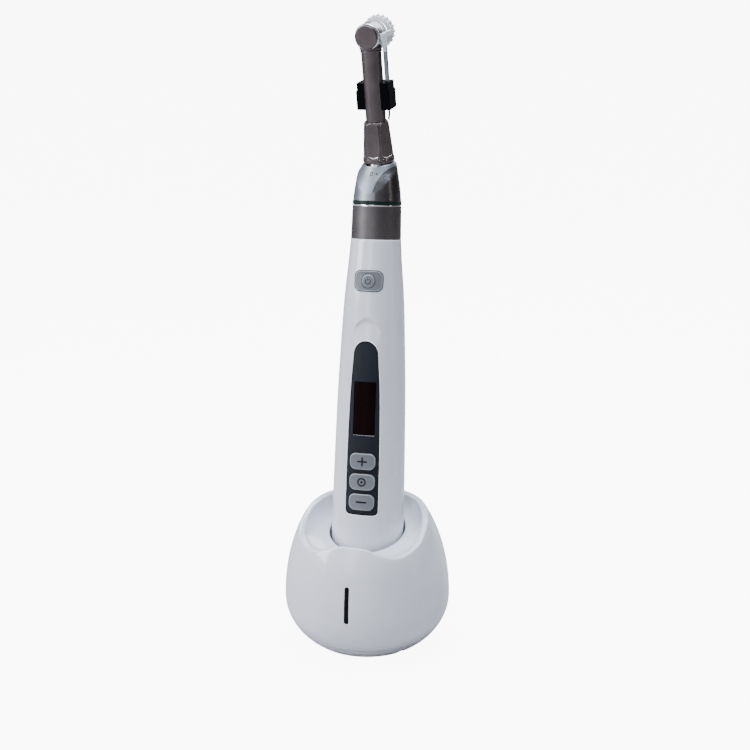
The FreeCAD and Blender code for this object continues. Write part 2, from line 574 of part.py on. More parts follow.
# ---- contra-angle -------------------------------------------------------------
def build_angle_body():
    ring = turned((5.88, 165.6), (10.1, 165.6), (10.2, 165.75), (10.2, 166.95), (10.1, 167.1), (5.88, 167.1))
    keep("ratio_ring", ring, ANGLE)

    skin = turned((0, 167.12), (10.0, 167.12), ("curve", [(9.65, 171.0), (8.95, 175.5), (8.1, 180.4), (7.3, 184.6)]),
                  (7.3, 190.0), (0, 190.0))
    shoulder = turned((0, -60), (40, -60), (40, -14.0), (11.5, -14.0), (8.55, -6.1), (6.7, -3.6), (6.4, -3.15),
                      (0, -3.15))
    to_angle = ANGLE.inverse().multiply(NECK)
    shoulder.Placement = to_angle
    cone = skin.common(shoulder)
    cone = cone.cut(cylinder(5.88, 160, 178.4)).cut(cylinder(5.6, 178, 190))
    keep("angle_cone", cone, ANGLE)

    sleeve = turned((3.6, -2.95), (5.5, -2.95), (6.35, -2.75), (6.55, -2.3), ("curve", [(6.3, 2.0), (5.85, 7.5),
                    (5.25, 13.0)]), (4.7, 13.75), (4.12, 13.75), (4.12, 11.0), (3.6, 11.0))
    for i in range(6):
        facet = block(5.95, 12, -6, 6, -1.1, 16)
        facet.rotate(V(5.95, 0, -1.1), V(0, 1, 0), -4.3)
        facet.rotate(V(0, 0, 0), V(0, 0, 1), 60.0 * i + 30.0)
        sleeve = sleeve.cut(facet)
    keep("taper_sleeve", sleeve, NECK)

    head = turned((0, -7.5), (3.9, -7.5), ("arc", 4.5, -7.1, 4.75, -6.3),
                  ("curve", [(5.15, -3.0), (5.3, 0.5), (5.25, 2.9)]), ("arc", 5.08, 3.7, 4.8, 3.9), (0, 3.9))
    head.rotate(V(0, 0, 0), V(1, 0, 0), 90)
    head.translate(V(0, 0, HEAD_S))
    neck = tube(NECK_R, 3.4, 11.02, HEAD_S).cut(head).cut(cross_cylinder(HEAD_R, -8.0, 0.0, 0, HEAD_S))
    keep("neck_tube", max(neck.Solids, key=lambda solid: solid.Volume), NECK)
    bore = cross_cylinder(4.72, -6.0, -2.4, 0, HEAD_S).fuse(cross_cylinder(4.3, -2.5, 6.6, 0, HEAD_S))
    bore = bore.fuse(cross_cylinder(2.7, 6.0, 9.0, 0, HEAD_S)).fuse(cylinder(3.4, 38.0, HEAD_S))
    keep("head_housing", head.cut(bore), NECK)

    cap = turned((0, 0), (4.62, 0), (4.62, 0.75), ("arc", 4.5, 1.1, 4.1, 1.2), (0, 1.32))
    cap.rotate(V(0, 0, 0), V(1, 0, 0), 90)
    cap.translate(V(0, -3.6, HEAD_S))
    keep("push_cap", cap, NECK)


def across(shape, y_shift=0.0):
    """Turn a shape built along +Z so that +Z becomes the file side, and put it on the head axis."""
    shape = shape.copy()
    shape.rotate(V(0, 0, 0), V(1, 0, 0), -90)
    shape.translate(V(0, y_shift, HEAD_S))
    return shape


def build_head():
    spindle = turned((SHANK_BORE_R, 7.2), (SHANK_BORE_R, -0.6), (0, -0.6), (0, -1.2), (2.0, -1.2), (2.0, 7.2))
    keep("chuck_spindle", across(spindle), NECK)
    bearings = []
    for y in (3.5, 5.5):
        bearings.append(across(tube(4.28, 2.06, y, y + 1.0)))
    keep("head_bearings", Part.makeCompound(bearings), NECK)
    gear = bevel_gear(HEAD_GEAR_TEETH, 3.0, 4.0, 90.0 - PINION_CONE, 0.42, 2.0, 270.0 + 180.0 / HEAD_GEAR_TEETH)
    gear.rotate(V(0, 0, 0), V(1, 0, 0), 90)
    gear.translate(V(0, 0, HEAD_S))
    keep("head_gear", gear, NECK)


def build_drive():
    pinion = bevel_gear(PINION_TEETH, 3.0, 4.0, PINION_CONE, 0.42, 0.9, 90.0)
    pinion.translate(V(0, 0, HEAD_S))
    shaft = cylinder(1.0, 0.6, HEAD_S - 2.7)
    bend_gear = bevel_gear(BEND_TEETH, 2.0, 3.1, 82.0, 0.42, 0.9, 90.0 + 180.0 / BEND_TEETH)
    bend_gear.rotate(V(0, 0, 0), V(1, 0, 0), 180)
    keep("drive_shaft", shaft.fuse(pinion).fuse(bend_gear).removeSplitter(), NECK)
    low_bush = tube(3.38, 1.05, 12.0, 14.4)
    high_bush = tube(3.38, 1.05, 34.0, 36.0)
    keep("neck_bushes", Part.makeCompound([low_bush, high_bush]), NECK)

    stage = ring_gear(RING_TEETH, RING_R, 5.57, STAGE_Z0 - 0.1, STAGE_Z1 + 0.2, 180.0 / RING_TEETH)
    keep("stage_ring_gear", stage, ANGLE)
    sun = spur_gear(SUN_TEETH, SUN_R, STAGE_Z0, STAGE_Z1, 0.0)
    shaft = cylinder(0.9, 169.6, STAGE_Z0 + 0.5).fuse(cylinder(2.4, 168.9, 171.6))
    shaft = shaft.fuse(block(-0.62, 0.62, -2.0, 2.0, 168.75, 169.0))
    keep("input_shaft", sun.fuse(shaft), ANGLE)
    keep("input_bearing", tube(5.86, 0.98, 177.7, 178.35), ANGLE)
    centre = SUN_R + PLANET_R
    for i in range(3):
        planet = spur_gear(PLANET_TEETH, PLANET_R, STAGE_Z0, STAGE_Z1, 0.0)
        planet = planet.cut(cylinder(0.42, STAGE_Z0 - 1, STAGE_Z1 + 1))
        planet.translate(V(centre, 0, 0))
        planet.rotate(V(0, 0, 0), V(0, 0, 1), 120.0 * i + PLANET_AT)
        keep("planet_gear_%d" % (i + 1), planet, ANGLE)
    carrier = cylinder(3.9, STAGE_Z1 + 0.3, STAGE_Z1 + 1.2).fuse(cylinder(1.6, STAGE_Z1 + 1.2, 185.4))
    for i in range(3):
        a = math.radians(120.0 * i + PLANET_AT)
        carrier = carrier.fuse(cylinder(0.38, STAGE_Z0 + 0.1, STAGE_Z1 + 0.4, centre * math.cos(a),
                                        centre * math.sin(a)))
    output = bevel_gear(BEND_TEETH, 2.0, 3.1, 82.0, 0.42, 1.5, 90.0)
    output.translate(V(0, 0, BEND_T))
    keep("planet_carrier", carrier.fuse(output).removeSplitter(), ANGLE)


# ---- file electrode on the neck -----------------------------------------------
def build_electrode():
    clip = prism(pad_outline(7.2, -6.0, 2.2, 0.5), 18.6, 26.2).fuse(
        prism(pad_outline(6.7, -6.0, 2.2, 0.5), 26.2, 29.4))
    clip.rotate(V(0, 0, 0), V(1, 0, 0), 90)
    clip = clip.cut(cylinder(NECK_R + 0.02, 0, 60)).cut(block(-3.4, 3.4, -10, 0, 0, 60))
    clip = clip.cut(block(4.75, 6.45, 0.6, 1.9, 27.0, 40))
    keep("electrode_clip", clip, NECK)
    arm = block(4.8, 6.4, 0.65, 1.85, 27.05, 43.2)
    keep("electrode_arm", arm, NECK)

    hoop = tube(6.1, 4.3, 8.1, 11.4)
    for i in range(20):
        rib = block(5.9, 6.65, -0.4, 0.4, 8.6, 11.0)
        rib.rotate(V(0, 0, 0), V(0, 0, 1), 18.0 * i)
        hoop = hoop.fuse(rib)
    hoop = across(hoop)
    cheek = block(5.45, 6.45, -2.6, 8.6, HEAD_S - 0.9, HEAD_S + 1.0)
    hoop = hoop.fuse(cheek)
    leg_wire = tooth_wire([V(5.45, -2.6, HEAD_S - 0.8), V(5.45, 2.6, HEAD_S - 0.8), V(5.45, 2.0, 43.3),
                           V(5.45, 0.4, 41.4), V(5.45, -0.4, 43.3)])
    leg = Part.Face(leg_wire).extrude(V(1.0, 0, 0)).cut(block(4.75, 6.45, 0.6, 1.9, 30, 43.25))
    keep("electrode_holder", hoop.fuse(leg).removeSplitter(), NECK)

    path = Part.BSplineCurve()
    path.interpolate([V(5.5, 1.4, 18.6), V(5.45, 1.2, 16.0), V(5.15, 0.9, 14.2)])
    wire = Part.Wire([path.toShape()])
    ring = Part.Wire([Part.makeCircle(0.42, V(5.5, 1.4, 18.6), V(0, 0, 1))])
    lead = wire.makePipe(Part.Face(ring))
    keep("electrode_lead", lead, NECK)


build_dock()
build_handpiece()
build_angle_body()
build_head()
build_drive()
build_electrode()

os.makedirs("parts", exist_ok=True)
for name, shape in NODES.items():
    shape.exportStep("parts/%s.step" % name)
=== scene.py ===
import bpy
import bmesh
import json
import math
from mathutils.bvhtree import BVHTree
from mathutils import Matrix, Vector


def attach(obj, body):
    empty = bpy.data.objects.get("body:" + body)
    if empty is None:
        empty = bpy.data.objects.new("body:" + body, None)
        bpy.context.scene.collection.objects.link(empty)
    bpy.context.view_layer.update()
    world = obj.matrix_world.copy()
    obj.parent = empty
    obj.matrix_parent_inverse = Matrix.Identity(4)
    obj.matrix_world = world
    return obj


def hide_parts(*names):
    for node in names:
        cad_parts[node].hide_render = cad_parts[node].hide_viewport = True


# Cordless endodontic motor in its charging dock.  Lengths in the tables are
# millimetres in each part's own frame; MM turns them into metres.

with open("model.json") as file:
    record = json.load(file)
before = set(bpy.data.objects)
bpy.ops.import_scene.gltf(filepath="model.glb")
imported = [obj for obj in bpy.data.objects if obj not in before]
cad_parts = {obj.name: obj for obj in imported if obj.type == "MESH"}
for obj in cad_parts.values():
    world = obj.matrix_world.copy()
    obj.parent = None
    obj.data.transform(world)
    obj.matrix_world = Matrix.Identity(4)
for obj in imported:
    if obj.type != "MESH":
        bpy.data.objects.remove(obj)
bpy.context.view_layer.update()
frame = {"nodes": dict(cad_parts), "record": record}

MM = 0.001

# ---- the same driving dimensions as the CAD ------------------------------------
DOCK_R, BELT_Z, DOCK_UP, DOCK_DOWN, SPLIT_Z = 35.5, 20.5, 55.0, 26.1, 7.0
LEAN, TURN, BEND = math.radians(7.0), math.radians(7.5), math.radians(16.0)
SEAT_T, SEAT_Z, BEND_T = 24.2, 46.0, 186.2
BODY_TOP, CAP_TOP, WALL = 151.5, 6.0, 2.0
POWER_T = 134.7
# node, body and height of each key
KEYS = (("minus_button", "minus_key", 42.2), ("select_button", "select_key", 50.8),
        ("plus_button", "plus_key", 59.5))
SOCKET_R = 16.1
LIGHT_Z, LIGHT_HALF_H, LIGHT_HALF_W = 29.2, 7.87, 0.95
INLET_Z, INLET_R = 14.0, 4.35
# low and high end of the panel, radius of its arched top and the height where the arch starts
PANEL_LOW, PANEL_HIGH, PANEL_TOP_R, PANEL_ARCH_T = 36.5, 110.0, 5.25, 104.0
PANEL_CORNER = 2.1
SCREEN_T = 81.7
KEY_R = 2.55
NOSE_R = 10.3
# strength at which the floor and backdrop read as paper white to the camera
PAPER_WHITE = 9.0

# height, half width, front depth, back depth of the handpiece
STATIONS = (
    (6.0, 15.55, 12.9, 15.55), (30.0, 15.45, 12.8, 15.45), (49.0, 15.2, 12.65, 15.2),
    (70.0, 14.8, 12.5, 14.8), (90.0, 14.3, 12.3, 14.3), (110.0, 13.45, 12.15, 13.45),
    (121.0, 12.9, 12.0, 12.9),
    (131.0, 12.2, 11.75, 12.2), (141.0, 11.25, 11.2, 11.25), (151.5, 10.45, 10.45, 10.45))
# angle from the front in degrees, height of the dock's rim; the same on both sides
RIM = ((0, 52.3), (12, 51.9), (20, 50.2), (29, 48.5), (40, 47.8), (51, 49.0), (62, 50.9), (72, 53.6),
       (87, 56.5), (105, 59.3), (125, 60.2), (180, 60.4))
# height of the dish's floor at the middle, its rise towards the back, and the width of the lip
FLOOR_Z, FLOOR_SLOPE, LIP = 49.7, 0.275, 2.3


def placed(matrix_mm):
    """A frame given in millimetres as a matrix in metres."""
    m = matrix_mm.copy()
    m.translation = m.translation * MM
    return m


HAND_MM = (Matrix.Translation(Vector((0, -SEAT_T * math.sin(LEAN), SEAT_Z - SEAT_T * math.cos(LEAN))))
           @ Matrix.Rotation(-LEAN, 4, "X"))
ANGLE_MM = HAND_MM @ Matrix.Rotation(-TURN, 4, "Z")
NECK_MM = ANGLE_MM @ Matrix.Translation(Vector((0, 0, BEND_T))) @ Matrix.Rotation(BEND, 4, "X")
DOCK = Matrix.Identity(4)
HAND = placed(HAND_MM)
ANGLE = placed(ANGLE_MM)
NECK = placed(NECK_MM)


def eased(table, at):
    """Smooth value(s) of a table at a position: cubic between the rows."""
    n = len(table)
    k = 0
    while k < n - 2 and at > table[k + 1][0]:
        k += 1
    x0, x1 = table[k][0], table[k + 1][0]
    u = (at - x0) / (x1 - x0)
    out = []
    for c in range(1, len(table[0])):
        y0, y1 = table[k][c], table[k + 1][c]
        before = (y1 - table[k - 1][c]) / (x1 - table[k - 1][0]) if k > 0 else (y1 - y0) / (x1 - x0)
        after = (table[k + 2][c] - y0) / (table[k + 2][0] - x0) if k < n - 2 else (y1 - y0) / (x1 - x0)
        m0, m1 = before * (x1 - x0), after * (x1 - x0)
        out.append((2 * u ** 3 - 3 * u ** 2 + 1) * y0 + (u ** 3 - 2 * u ** 2 + u) * m0
                   + (3 * u ** 2 - 2 * u ** 3) * y1 + (u ** 3 - u ** 2) * m1)
    return out


# ---- materials -----------------------------------------------------------------
def new_material(name):
    """An empty node material, with its nodes, links and shader."""
    m = bpy.data.materials.new(name)
    m.use_nodes = True
    return m, m.node_tree.nodes, m.node_tree.links, m.node_tree.nodes["Principled BSDF"]


def noise(nodes, links, scale, detail=3.0, stretch=(1, 1, 1)):
    """Noise fixed to the piece, drawn out along the axes by stretch."""
    coord = nodes.new("ShaderNodeTexCoord")
    mapping = nodes.new("ShaderNodeMapping")
    mapping.inputs["Scale"].default_value = stretch
    tex = nodes.new("ShaderNodeTexNoise")
    tex.inputs["Scale"].default_value = scale
    tex.inputs["Detail"].default_value = detail
    links.new(coord.outputs["Object"], mapping.inputs["Vector"])
    links.new(mapping.outputs["Vector"], tex.inputs["Vector"])
    return tex.outputs["Fac"]


def two_tone(nodes, links, factor, low, high):
    """A colour that drifts between two tones."""
    ramp = nodes.new("ShaderNodeValToRGB")
    ramp.color_ramp.elements[0].position = 0.35
    ramp.color_ramp.elements[1].position = 0.65
    ramp.color_ramp.elements[0].color = (*low, 1)
    ramp.color_ramp.elements[1].color = (*high, 1)
    links.new(factor, ramp.inputs["Fac"])
    return ramp.outputs["Color"]


def ranged(nodes, links, factor, low, high):
    """A value that drifts between two limits, as for roughness."""
    span = nodes.new("ShaderNodeMapRange")
    span.inputs["From Min"].default_value = 0.3
    span.inputs["From Max"].default_value = 0.7
    span.inputs["To Min"].default_value = low
    span.inputs["To Max"].default_value = high
    links.new(factor, span.inputs["Value"])
    return span.outputs["Result"]


def bumped(nodes, links, bsdf, factor, strength, distance):
    """Fine relief on the surface."""
    bump = nodes.new("ShaderNodeBump")
    bump.inputs["Strength"].default_value = strength
    bump.inputs["Distance"].default_value = distance
    links.new(factor, bump.inputs["Height"])
    links.new(bump.outputs["Normal"], bsdf.inputs["Normal"])


def plastic(name, low, high, rough, depth=0.00002, coat=0.0, specular=0.5):
    """Moulded plastic: faint cloudiness, roughness that varies, and a fine skin texture."""
    m, nodes, links, bsdf = new_material(name)
    broad = noise(nodes, links, 45.0, 2.0)
    fine = noise(nodes, links, 2200.0, 2.0)
    links.new(two_tone(nodes, links, broad, low, high), bsdf.inputs["Base Color"])
    links.new(ranged(nodes, links, fine, rough * 0.85, rough * 1.15), bsdf.inputs["Roughness"])
    bumped(nodes, links, bsdf, fine, 0.25, depth)
    bsdf.inputs["Coat Weight"].default_value = coat
    bsdf.inputs["Coat Roughness"].default_value = 0.05
    bsdf.inputs["Specular IOR Level"].default_value = specular
    return m


def brushed(name, low, high, rough):
    """Turned or brushed metal: fine lines, slight stain, roughness that varies along the lines."""
    m, nodes, links, bsdf = new_material(name)
    lines = noise(nodes, links, 900.0, 3.0, (1, 1, 60))
    stain = noise(nodes, links, 120.0, 3.0)
    links.new(two_tone(nodes, links, stain, low, high), bsdf.inputs["Base Color"])
    links.new(ranged(nodes, links, lines, rough * 0.8, rough * 1.2), bsdf.inputs["Roughness"])
    bumped(nodes, links, bsdf, lines, 0.2, 0.000012)
    bsdf.inputs["Metallic"].default_value = 1.0
    return m


def cone_metal_painted_shade():
    """Satin nose cone: bright blasted front, smoother side beyond a curved edge, its colour painted darker as
    the shade where the shoulder turns from the light.
    """
    m, nodes, links, bsdf = new_material("cone_satin_painted_shade")
    coord = nodes.new("ShaderNodeTexCoord")
    shift = nodes.new("ShaderNodeVectorMath")
    shift.operation = "SUBTRACT"
    shift.inputs[1].default_value = (0.0132, -0.0058, 0.1672)
    squash = nodes.new("ShaderNodeVectorMath")
    squash.operation = "MULTIPLY"
    squash.inputs[1].default_value = (1 / 0.0122, 1 / 0.030, 1 / 0.0165)
    length = nodes.new("ShaderNodeVectorMath")
    length.operation = "LENGTH"
    edge = nodes.new("ShaderNodeMapRange")
    edge.inputs["From Min"].default_value = 0.985
    edge.inputs["From Max"].default_value = 1.015
    links.new(coord.outputs["Object"], shift.inputs[0])
    links.new(shift.outputs["Vector"], squash.inputs[0])
    links.new(squash.outputs["Vector"], length.inputs[0])
    links.new(length.outputs["Value"], edge.inputs["Value"])
    grain = noise(nodes, links, 5200.0, 2.0)
    # painted shade: colour A darkens the side inside the curved edge, colour B is the lit front
    mix = nodes.new("ShaderNodeMix")
    mix.data_type = "RGBA"
    mix.inputs["A"].default_value = (0.13, 0.13, 0.137, 1)
    mix.inputs["B"].default_value = (0.235, 0.25, 0.285, 1)
    links.new(edge.outputs["Result"], mix.inputs["Factor"])
    links.new(mix.outputs["Result"], bsdf.inputs["Base Color"])
    rough = nodes.new("ShaderNodeMapRange")
    rough.inputs["To Min"].default_value = 0.26
    rough.inputs["To Max"].default_value = 0.42
    links.new(edge.outputs["Result"], rough.inputs["Value"])
    links.new(rough.outputs["Result"], bsdf.inputs["Roughness"])
    bumped(nodes, links, bsdf, grain, 0.2, 0.00001)
    bsdf.inputs["Metallic"].default_value = 1.0
    return m


def glassy(name, colour, rough, transmission):
    """Clear moulding that is cloudy in places."""
    m, nodes, links, bsdf = new_material(name)
    cloud = noise(nodes, links, 260.0, 3.0)
    dim = tuple(c * 0.9 for c in colour)
    links.new(two_tone(nodes, links, cloud, dim, colour), bsdf.inputs["Base Color"])
    links.new(ranged(nodes, links, cloud, rough * 0.8, rough * 1.3), bsdf.inputs["Roughness"])
    bsdf.inputs["Transmission Weight"].default_value = transmission
    bsdf.inputs["IOR"].default_value = 1.47
    return m


def circuit_material():
    """Green board with a fine grid of copper lines."""
    m, nodes, links, bsdf = new_material("board_green")
    brick = nodes.new("ShaderNodeTexBrick")
    brick.inputs["Scale"].default_value = 420.0
    brick.inputs["Mortar Size"].default_value = 0.06
    brick.inputs["Color1"].default_value = (0.02, 0.16, 0.08, 1)
    brick.inputs["Color2"].default_value = (0.03, 0.20, 0.10, 1)
    brick.inputs["Mortar"].default_value = (0.35, 0.30, 0.12, 1)
    coord = nodes.new("ShaderNodeTexCoord")
    links.new(coord.outputs["Object"], brick.inputs["Vector"])
    links.new(brick.outputs["Color"], bsdf.inputs["Base Color"])
    links.new(ranged(nodes, links, noise(nodes, links, 900.0), 0.4, 0.6), bsdf.inputs["Roughness"])
    return m


MATS = {
    "white_gloss": plastic("white_shell", (0.62, 0.625, 0.685), (0.655, 0.66, 0.72), 0.2,
                           coat=0.8, depth=0.00001),
    "black_rubber": plastic("rubber_black", (0.012, 0.012, 0.014), (0.02, 0.02, 0.022), 0.6),
    "plated_steel": brushed("steel_plated", (0.46, 0.46, 0.48), (0.56, 0.56, 0.58), 0.28),
    "circuit_board": circuit_material(),
    "dark_lens": plastic("lens_dark", (0.0015, 0.0015, 0.002), (0.003, 0.003, 0.004), 0.3, specular=0.08),
    "black_plastic": plastic("plastic_black", (0.0003, 0.0004, 0.0012), (0.0006, 0.0008, 0.002), 0.42,
                             specular=0.04),
    "gold_contact": brushed("contact_gold", (0.80, 0.60, 0.25), (0.88, 0.70, 0.34), 0.22),
    "panel_slate": plastic("panel_slate", (0.0075, 0.0085, 0.013), (0.0105, 0.012, 0.0175), 0.45,
                           depth=0.00004, specular=0.15),
    "screen_glass": plastic("screen_dark", (0.0022, 0.00015, 0.0003), (0.0038, 0.00025, 0.0005), 0.3,
                            specular=0.05),
    "key_grey": plastic("key_grey", (0.115, 0.124, 0.142), (0.135, 0.145, 0.163), 0.4,
                        depth=0.00004, specular=0.35),
    "key_rim": plastic("key_rim", (0.25, 0.262, 0.29), (0.31, 0.325, 0.35), 0.36),
    "battery_wrap": plastic("wrap_blue", (0.03, 0.07, 0.22), (0.05, 0.10, 0.30), 0.3, coat=0.3),
    "dark_magnet": brushed("magnet_dark", (0.10, 0.10, 0.11), (0.15, 0.15, 0.16), 0.4),
    "copper_winding": brushed("winding_copper", (0.50, 0.20, 0.08), (0.62, 0.28, 0.12), 0.35),
    "satin_steel": brushed("steel_satin", (0.100, 0.083, 0.085), (0.126, 0.106, 0.108), 0.36),
    "bright_steel": brushed("steel_bright", (0.42, 0.43, 0.46), (0.52, 0.53, 0.56), 0.2),
    "green_ring": plastic("ring_green", (0.0008, 0.010, 0.006), (0.0015, 0.016, 0.010), 0.35, specular=0.2),
    "bronze": brushed("bronze_bush", (0.42, 0.26, 0.12), (0.52, 0.33, 0.16), 0.3),
    "clear_plastic": glassy("plastic_clear", (0.95, 0.955, 0.98), 0.22, 0.18),
    "arm_steel": brushed("steel_arm", (0.20, 0.21, 0.235), (0.27, 0.28, 0.31), 0.25),
    # painted highlight: a whiter plastic than the shell, for thin beads that stand in for light caught along
    # edges
    "white_painted_highlight": plastic("white_painted_highlight", (0.93, 0.93, 0.94), (0.96, 0.96, 0.97), 0.2, coat=0.6),
    # dark ink for the printed marks; also painted shade on the panel's recess edge and in the power key's
    # groove
    "print_and_gap_shade": plastic("print_dark_and_gap_shade", (0.003, 0.0035, 0.006), (0.006, 0.0065, 0.01), 0.5, specular=0.1),
    # painted highlight: near-white metal on bevels, edge bands and crescents, brighter than the parts it sits
    # on, standing in for light caught by their edges
    "painted_highlight_metal": brushed("steel_painted_highlight", (0.80, 0.80, 0.82), (0.88, 0.88, 0.90), 0.12),
    "collar_steel": brushed("steel_collar", (0.092, 0.085, 0.088), (0.116, 0.106, 0.108), 0.48),
    "cone": cone_metal_painted_shade(),
}


# ---- mesh helpers --------------------------------------------------------------
def finish_piece(obj, matrix, body, materials, stands_for=(), smooth=35.0):
    """Place a piece, give it its materials and tie it to its body."""
    obj.matrix_world = matrix
    for m in materials:
        obj.data.materials.append(m)
    obj.data.shade_smooth()
    if smooth:
        obj.data.set_sharp_from_angle(angle=math.radians(smooth))
    weighted = obj.modifiers.new("weighted", "WEIGHTED_NORMAL")
    weighted.keep_sharp = True
    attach(obj, body)
    if stands_for:
        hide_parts(*stands_for)
    return obj


def mesh_object(name, verts, faces, face_mats=None):
    """An object from points in millimetres; points that coincide are joined."""
    mesh = bpy.data.meshes.new(name)
    mesh.from_pydata([tuple(c * MM for c in v) for v in verts], [], faces)
    if face_mats:
        mesh.polygons.foreach_set("material_index", face_mats)
    mesh.update()
    obj = bpy.data.objects.new(name, mesh)
    bpy.context.scene.collection.objects.link(obj)
    bm = bmesh.new()
    bm.from_mesh(mesh)
    bmesh.ops.remove_doubles(bm, verts=bm.verts, dist=1e-7)
    bmesh.ops.recalc_face_normals(bm, faces=bm.faces)
    bm.to_mesh(mesh)
    bm.free()
    return obj


def rounded(corners, steps=6):
    """Outline points where each corner (r, z, fillet) becomes an arc of that cut length."""
    out = []
    for i, (r, z, cut) in enumerate(corners):
        p = Vector((r, z))
        if cut <= 0 or i in (0, len(corners) - 1):
            out.append((r, z))
            continue
        a = Vector(corners[i - 1][:2])
        b = Vector(corners[i + 1][:2])
        start = p + (a - p).normalized() * min(cut, (a - p).length * 0.49)
        end = p + (b - p).normalized() * min(cut, (b - p).length * 0.49)
        for k in range(steps + 1):
            u = k / steps
            q = start * (1 - u) ** 2 + p * 2 * u * (1 - u) + end * u ** 2
            out.append((q.x, q.y))
    return out


def lathe(name, outline, segments=128, bands=()):
    """Turn an open outline of (r, z) about Z.  bands are (z low, z high, material index)."""
    verts, faces, mats = [], [], []
    n = len(outline)
    for r, z in outline:
        for s in range(segments):
            a = 2 * math.pi * s / segments
            verts.append((r * math.cos(a), r * math.sin(a), z))
    for i in range(n - 1):
        middle = (outline[i][1] + outline[i + 1][1]) / 2
        index = 0
        for low, high, number in bands:
            if low <= middle <= high:
                index = number
        for s in range(segments):
            t = (s + 1) % segments
            faces.append((i * segments + s, i * segments + t, (i + 1) * segments + t, (i + 1) * segments + s))
            mats.append(index)
    return mesh_object(name, verts, faces, mats)


def chaikin(points, times):
    """Smooth a path by cutting its corners, keeping its two ends."""
    for _ in range(times):
        out = [points[0]]
        for a, b in zip(points, points[1:]):
            out += [a * 0.75 + b * 0.25, a * 0.25 + b * 0.75]
        out.append(points[-1])
        points = out
    return points


def cut_with(obj, cutter):
    """Take a helper object away from a piece; the helper is then removed."""
    mod = obj.modifiers.new("cut", "BOOLEAN")
    mod.operation = "DIFFERENCE"
    mod.solver = "EXACT"
    mod.object = cutter
    bpy.context.view_layer.update()
    dg = bpy.context.evaluated_depsgraph_get()
    mesh = bpy.data.meshes.new_from_object(obj.evaluated_get(dg))
    obj.modifiers.clear()
    obj.data = mesh
    bpy.data.objects.remove(cutter)


def prism_cutter(outline, y0, y1):
    """A straight block along Y with an (x, z) outline, in millimetres."""
    n = len(outline)
    verts = [(x, y0, z) for x, z in outline] + [(x, y1, z) for x, z in outline]
    faces = [tuple(range(n)), tuple(range(2 * n - 1, n - 1, -1))]
    for i in range(n):
        j = (i + 1) % n
        faces.append((i, i + n, j + n, j))
    return mesh_object("cutter", verts, faces)


def rounded_rect(half_w, half_h, r, steps=8):
    """Closed outline round (0, 0), anticlockwise."""
    out = []
    for cx, cz, start in ((half_w - r, half_h - r, 0), (-half_w + r, half_h - r, 90),
                          (-half_w + r, -half_h + r, 180), (half_w - r, -half_h + r, 270)):
        for k in range(steps + 1):
            a = math.radians(start + 90.0 * k / steps)
            out.append((cx + r * math.cos(a), cz + r * math.sin(a)))
    return out


def densify(outline, longest):
    """Add points to a closed outline until no step is much longer than asked."""
    out = []
    n = len(outline)
    for i in range(n):
        a, b = Vector(outline[i]), Vector(outline[(i + 1) % n])
        steps = max(1, int((b - a).length / longest))
        for k in range(steps):
            p = a.lerp(b, k / steps)
            out.append((p.x, p.y))
    return out


def circle(r, count=48):
    """Closed round outline about (0, 0)."""
    return [(r * math.cos(2 * math.pi * i / count), r * math.sin(2 * math.pi * i / count))
            for i in range(count)]


# ---- dock ----------------------------------------------------------------------
def dock_radius(z, inset=0.0):
    """Radius of the egg at a height, or of the egg grown smaller by inset."""
    half = (DOCK_UP if z > BELT_Z else DOCK_DOWN) - inset
    q = (z - BELT_Z) / half
    return (DOCK_R - inset) * math.sqrt(max(0.0, 1 - q * q))


def dish_profile(angle):
    """Points from the parting line up over the rim, down the dish and into the socket."""
    out = Vector((math.sin(angle), -math.cos(angle), 0))
    up = Vector((0, 0, 1))
    from_front = abs(math.degrees(math.atan2(math.sin(angle), math.cos(angle))))
    top = eased(RIM, from_front)[0]
    rim = out * dock_radius(top) + up * top
    side = min(1.0, max(0.0, (top - 48.0) / 6.0))
    lip = rim - out * LIP - up * (0.15 + 0.45 * side)
    lean = math.tan(LEAN)
    foot_z = (FLOOR_Z + FLOOR_SLOPE * (SOCKET_R * out.y - SEAT_Z * lean)) / (1 - FLOOR_SLOPE * lean)
    foot = out * SOCKET_R + Vector((0, (foot_z - SEAT_Z) * lean, foot_z))
    reach = dock_radius(top) - LIP - SOCKET_R
    steep = lip - out * (0.12 * reach) - up * (0.62 * (lip.z - foot.z))
    level = foot + out * (0.55 * reach) + up * (0.55 * reach * FLOOR_SLOPE * out.y)
    low = SPLIT_Z
    path = [out * dock_radius(low, 2.0) + up * low, out * (dock_radius(low) - 0.5) + up * low,
            out * (dock_radius(low) - 0.02) + up * (low + 0.05),
            out * dock_radius(low + 0.5) + up * (low + 0.5)]
    for k in range(1, 17):
        z = low + 0.5 + (top - 1.0 - low - 0.5) * k / 16
        path.append(out * dock_radius(z) + up * z)
    path += [rim - out * 0.15, rim.lerp(lip, 0.35) + up * 0.1, lip]
    for k in range(1, 12):
        u = k / 12
        path.append(lip * (1 - u) ** 3 + steep * 3 * u * (1 - u) ** 2
                    + level * 3 * u * u * (1 - u) + foot * u ** 3)
    axis = Vector((0, math.sin(LEAN), math.cos(LEAN)))
    path += [foot + out * 0.35 + up * 0.05, foot - axis * 0.4, foot - axis * 9.0]
    return chaikin(path, 2)


def dock_shell():
    """Egg-shaped cover with its dished rim, the slot for the light and the hole for the inlet."""
    around = 288
    verts, faces = [], []
    for s in range(around):
        path = dish_profile(2 * math.pi * s / around)
        verts += [tuple(p) for p in path]
    rows = len(path)
    for s in range(around):
        t = (s + 1) % around
        for k in range(rows - 1):
            faces.append((s * rows + k, t * rows + k, t * rows + k + 1, s * rows + k + 1))
    obj = mesh_object("dock_cover", verts, faces)
    slot = [(x, z + LIGHT_Z) for x, z in rounded_rect(0.98, 7.9, 0.97)]
    inlet = [(x, z + INLET_Z) for x, z in circle(INLET_R)]
    cut_with(obj, prism_cutter(slot, -40, -25))
    cut_with(obj, prism_cutter(inlet, 25, 40))
    return finish_piece(obj, DOCK, "dock", [MATS["white_gloss"]], ("dock_shell",), 50)


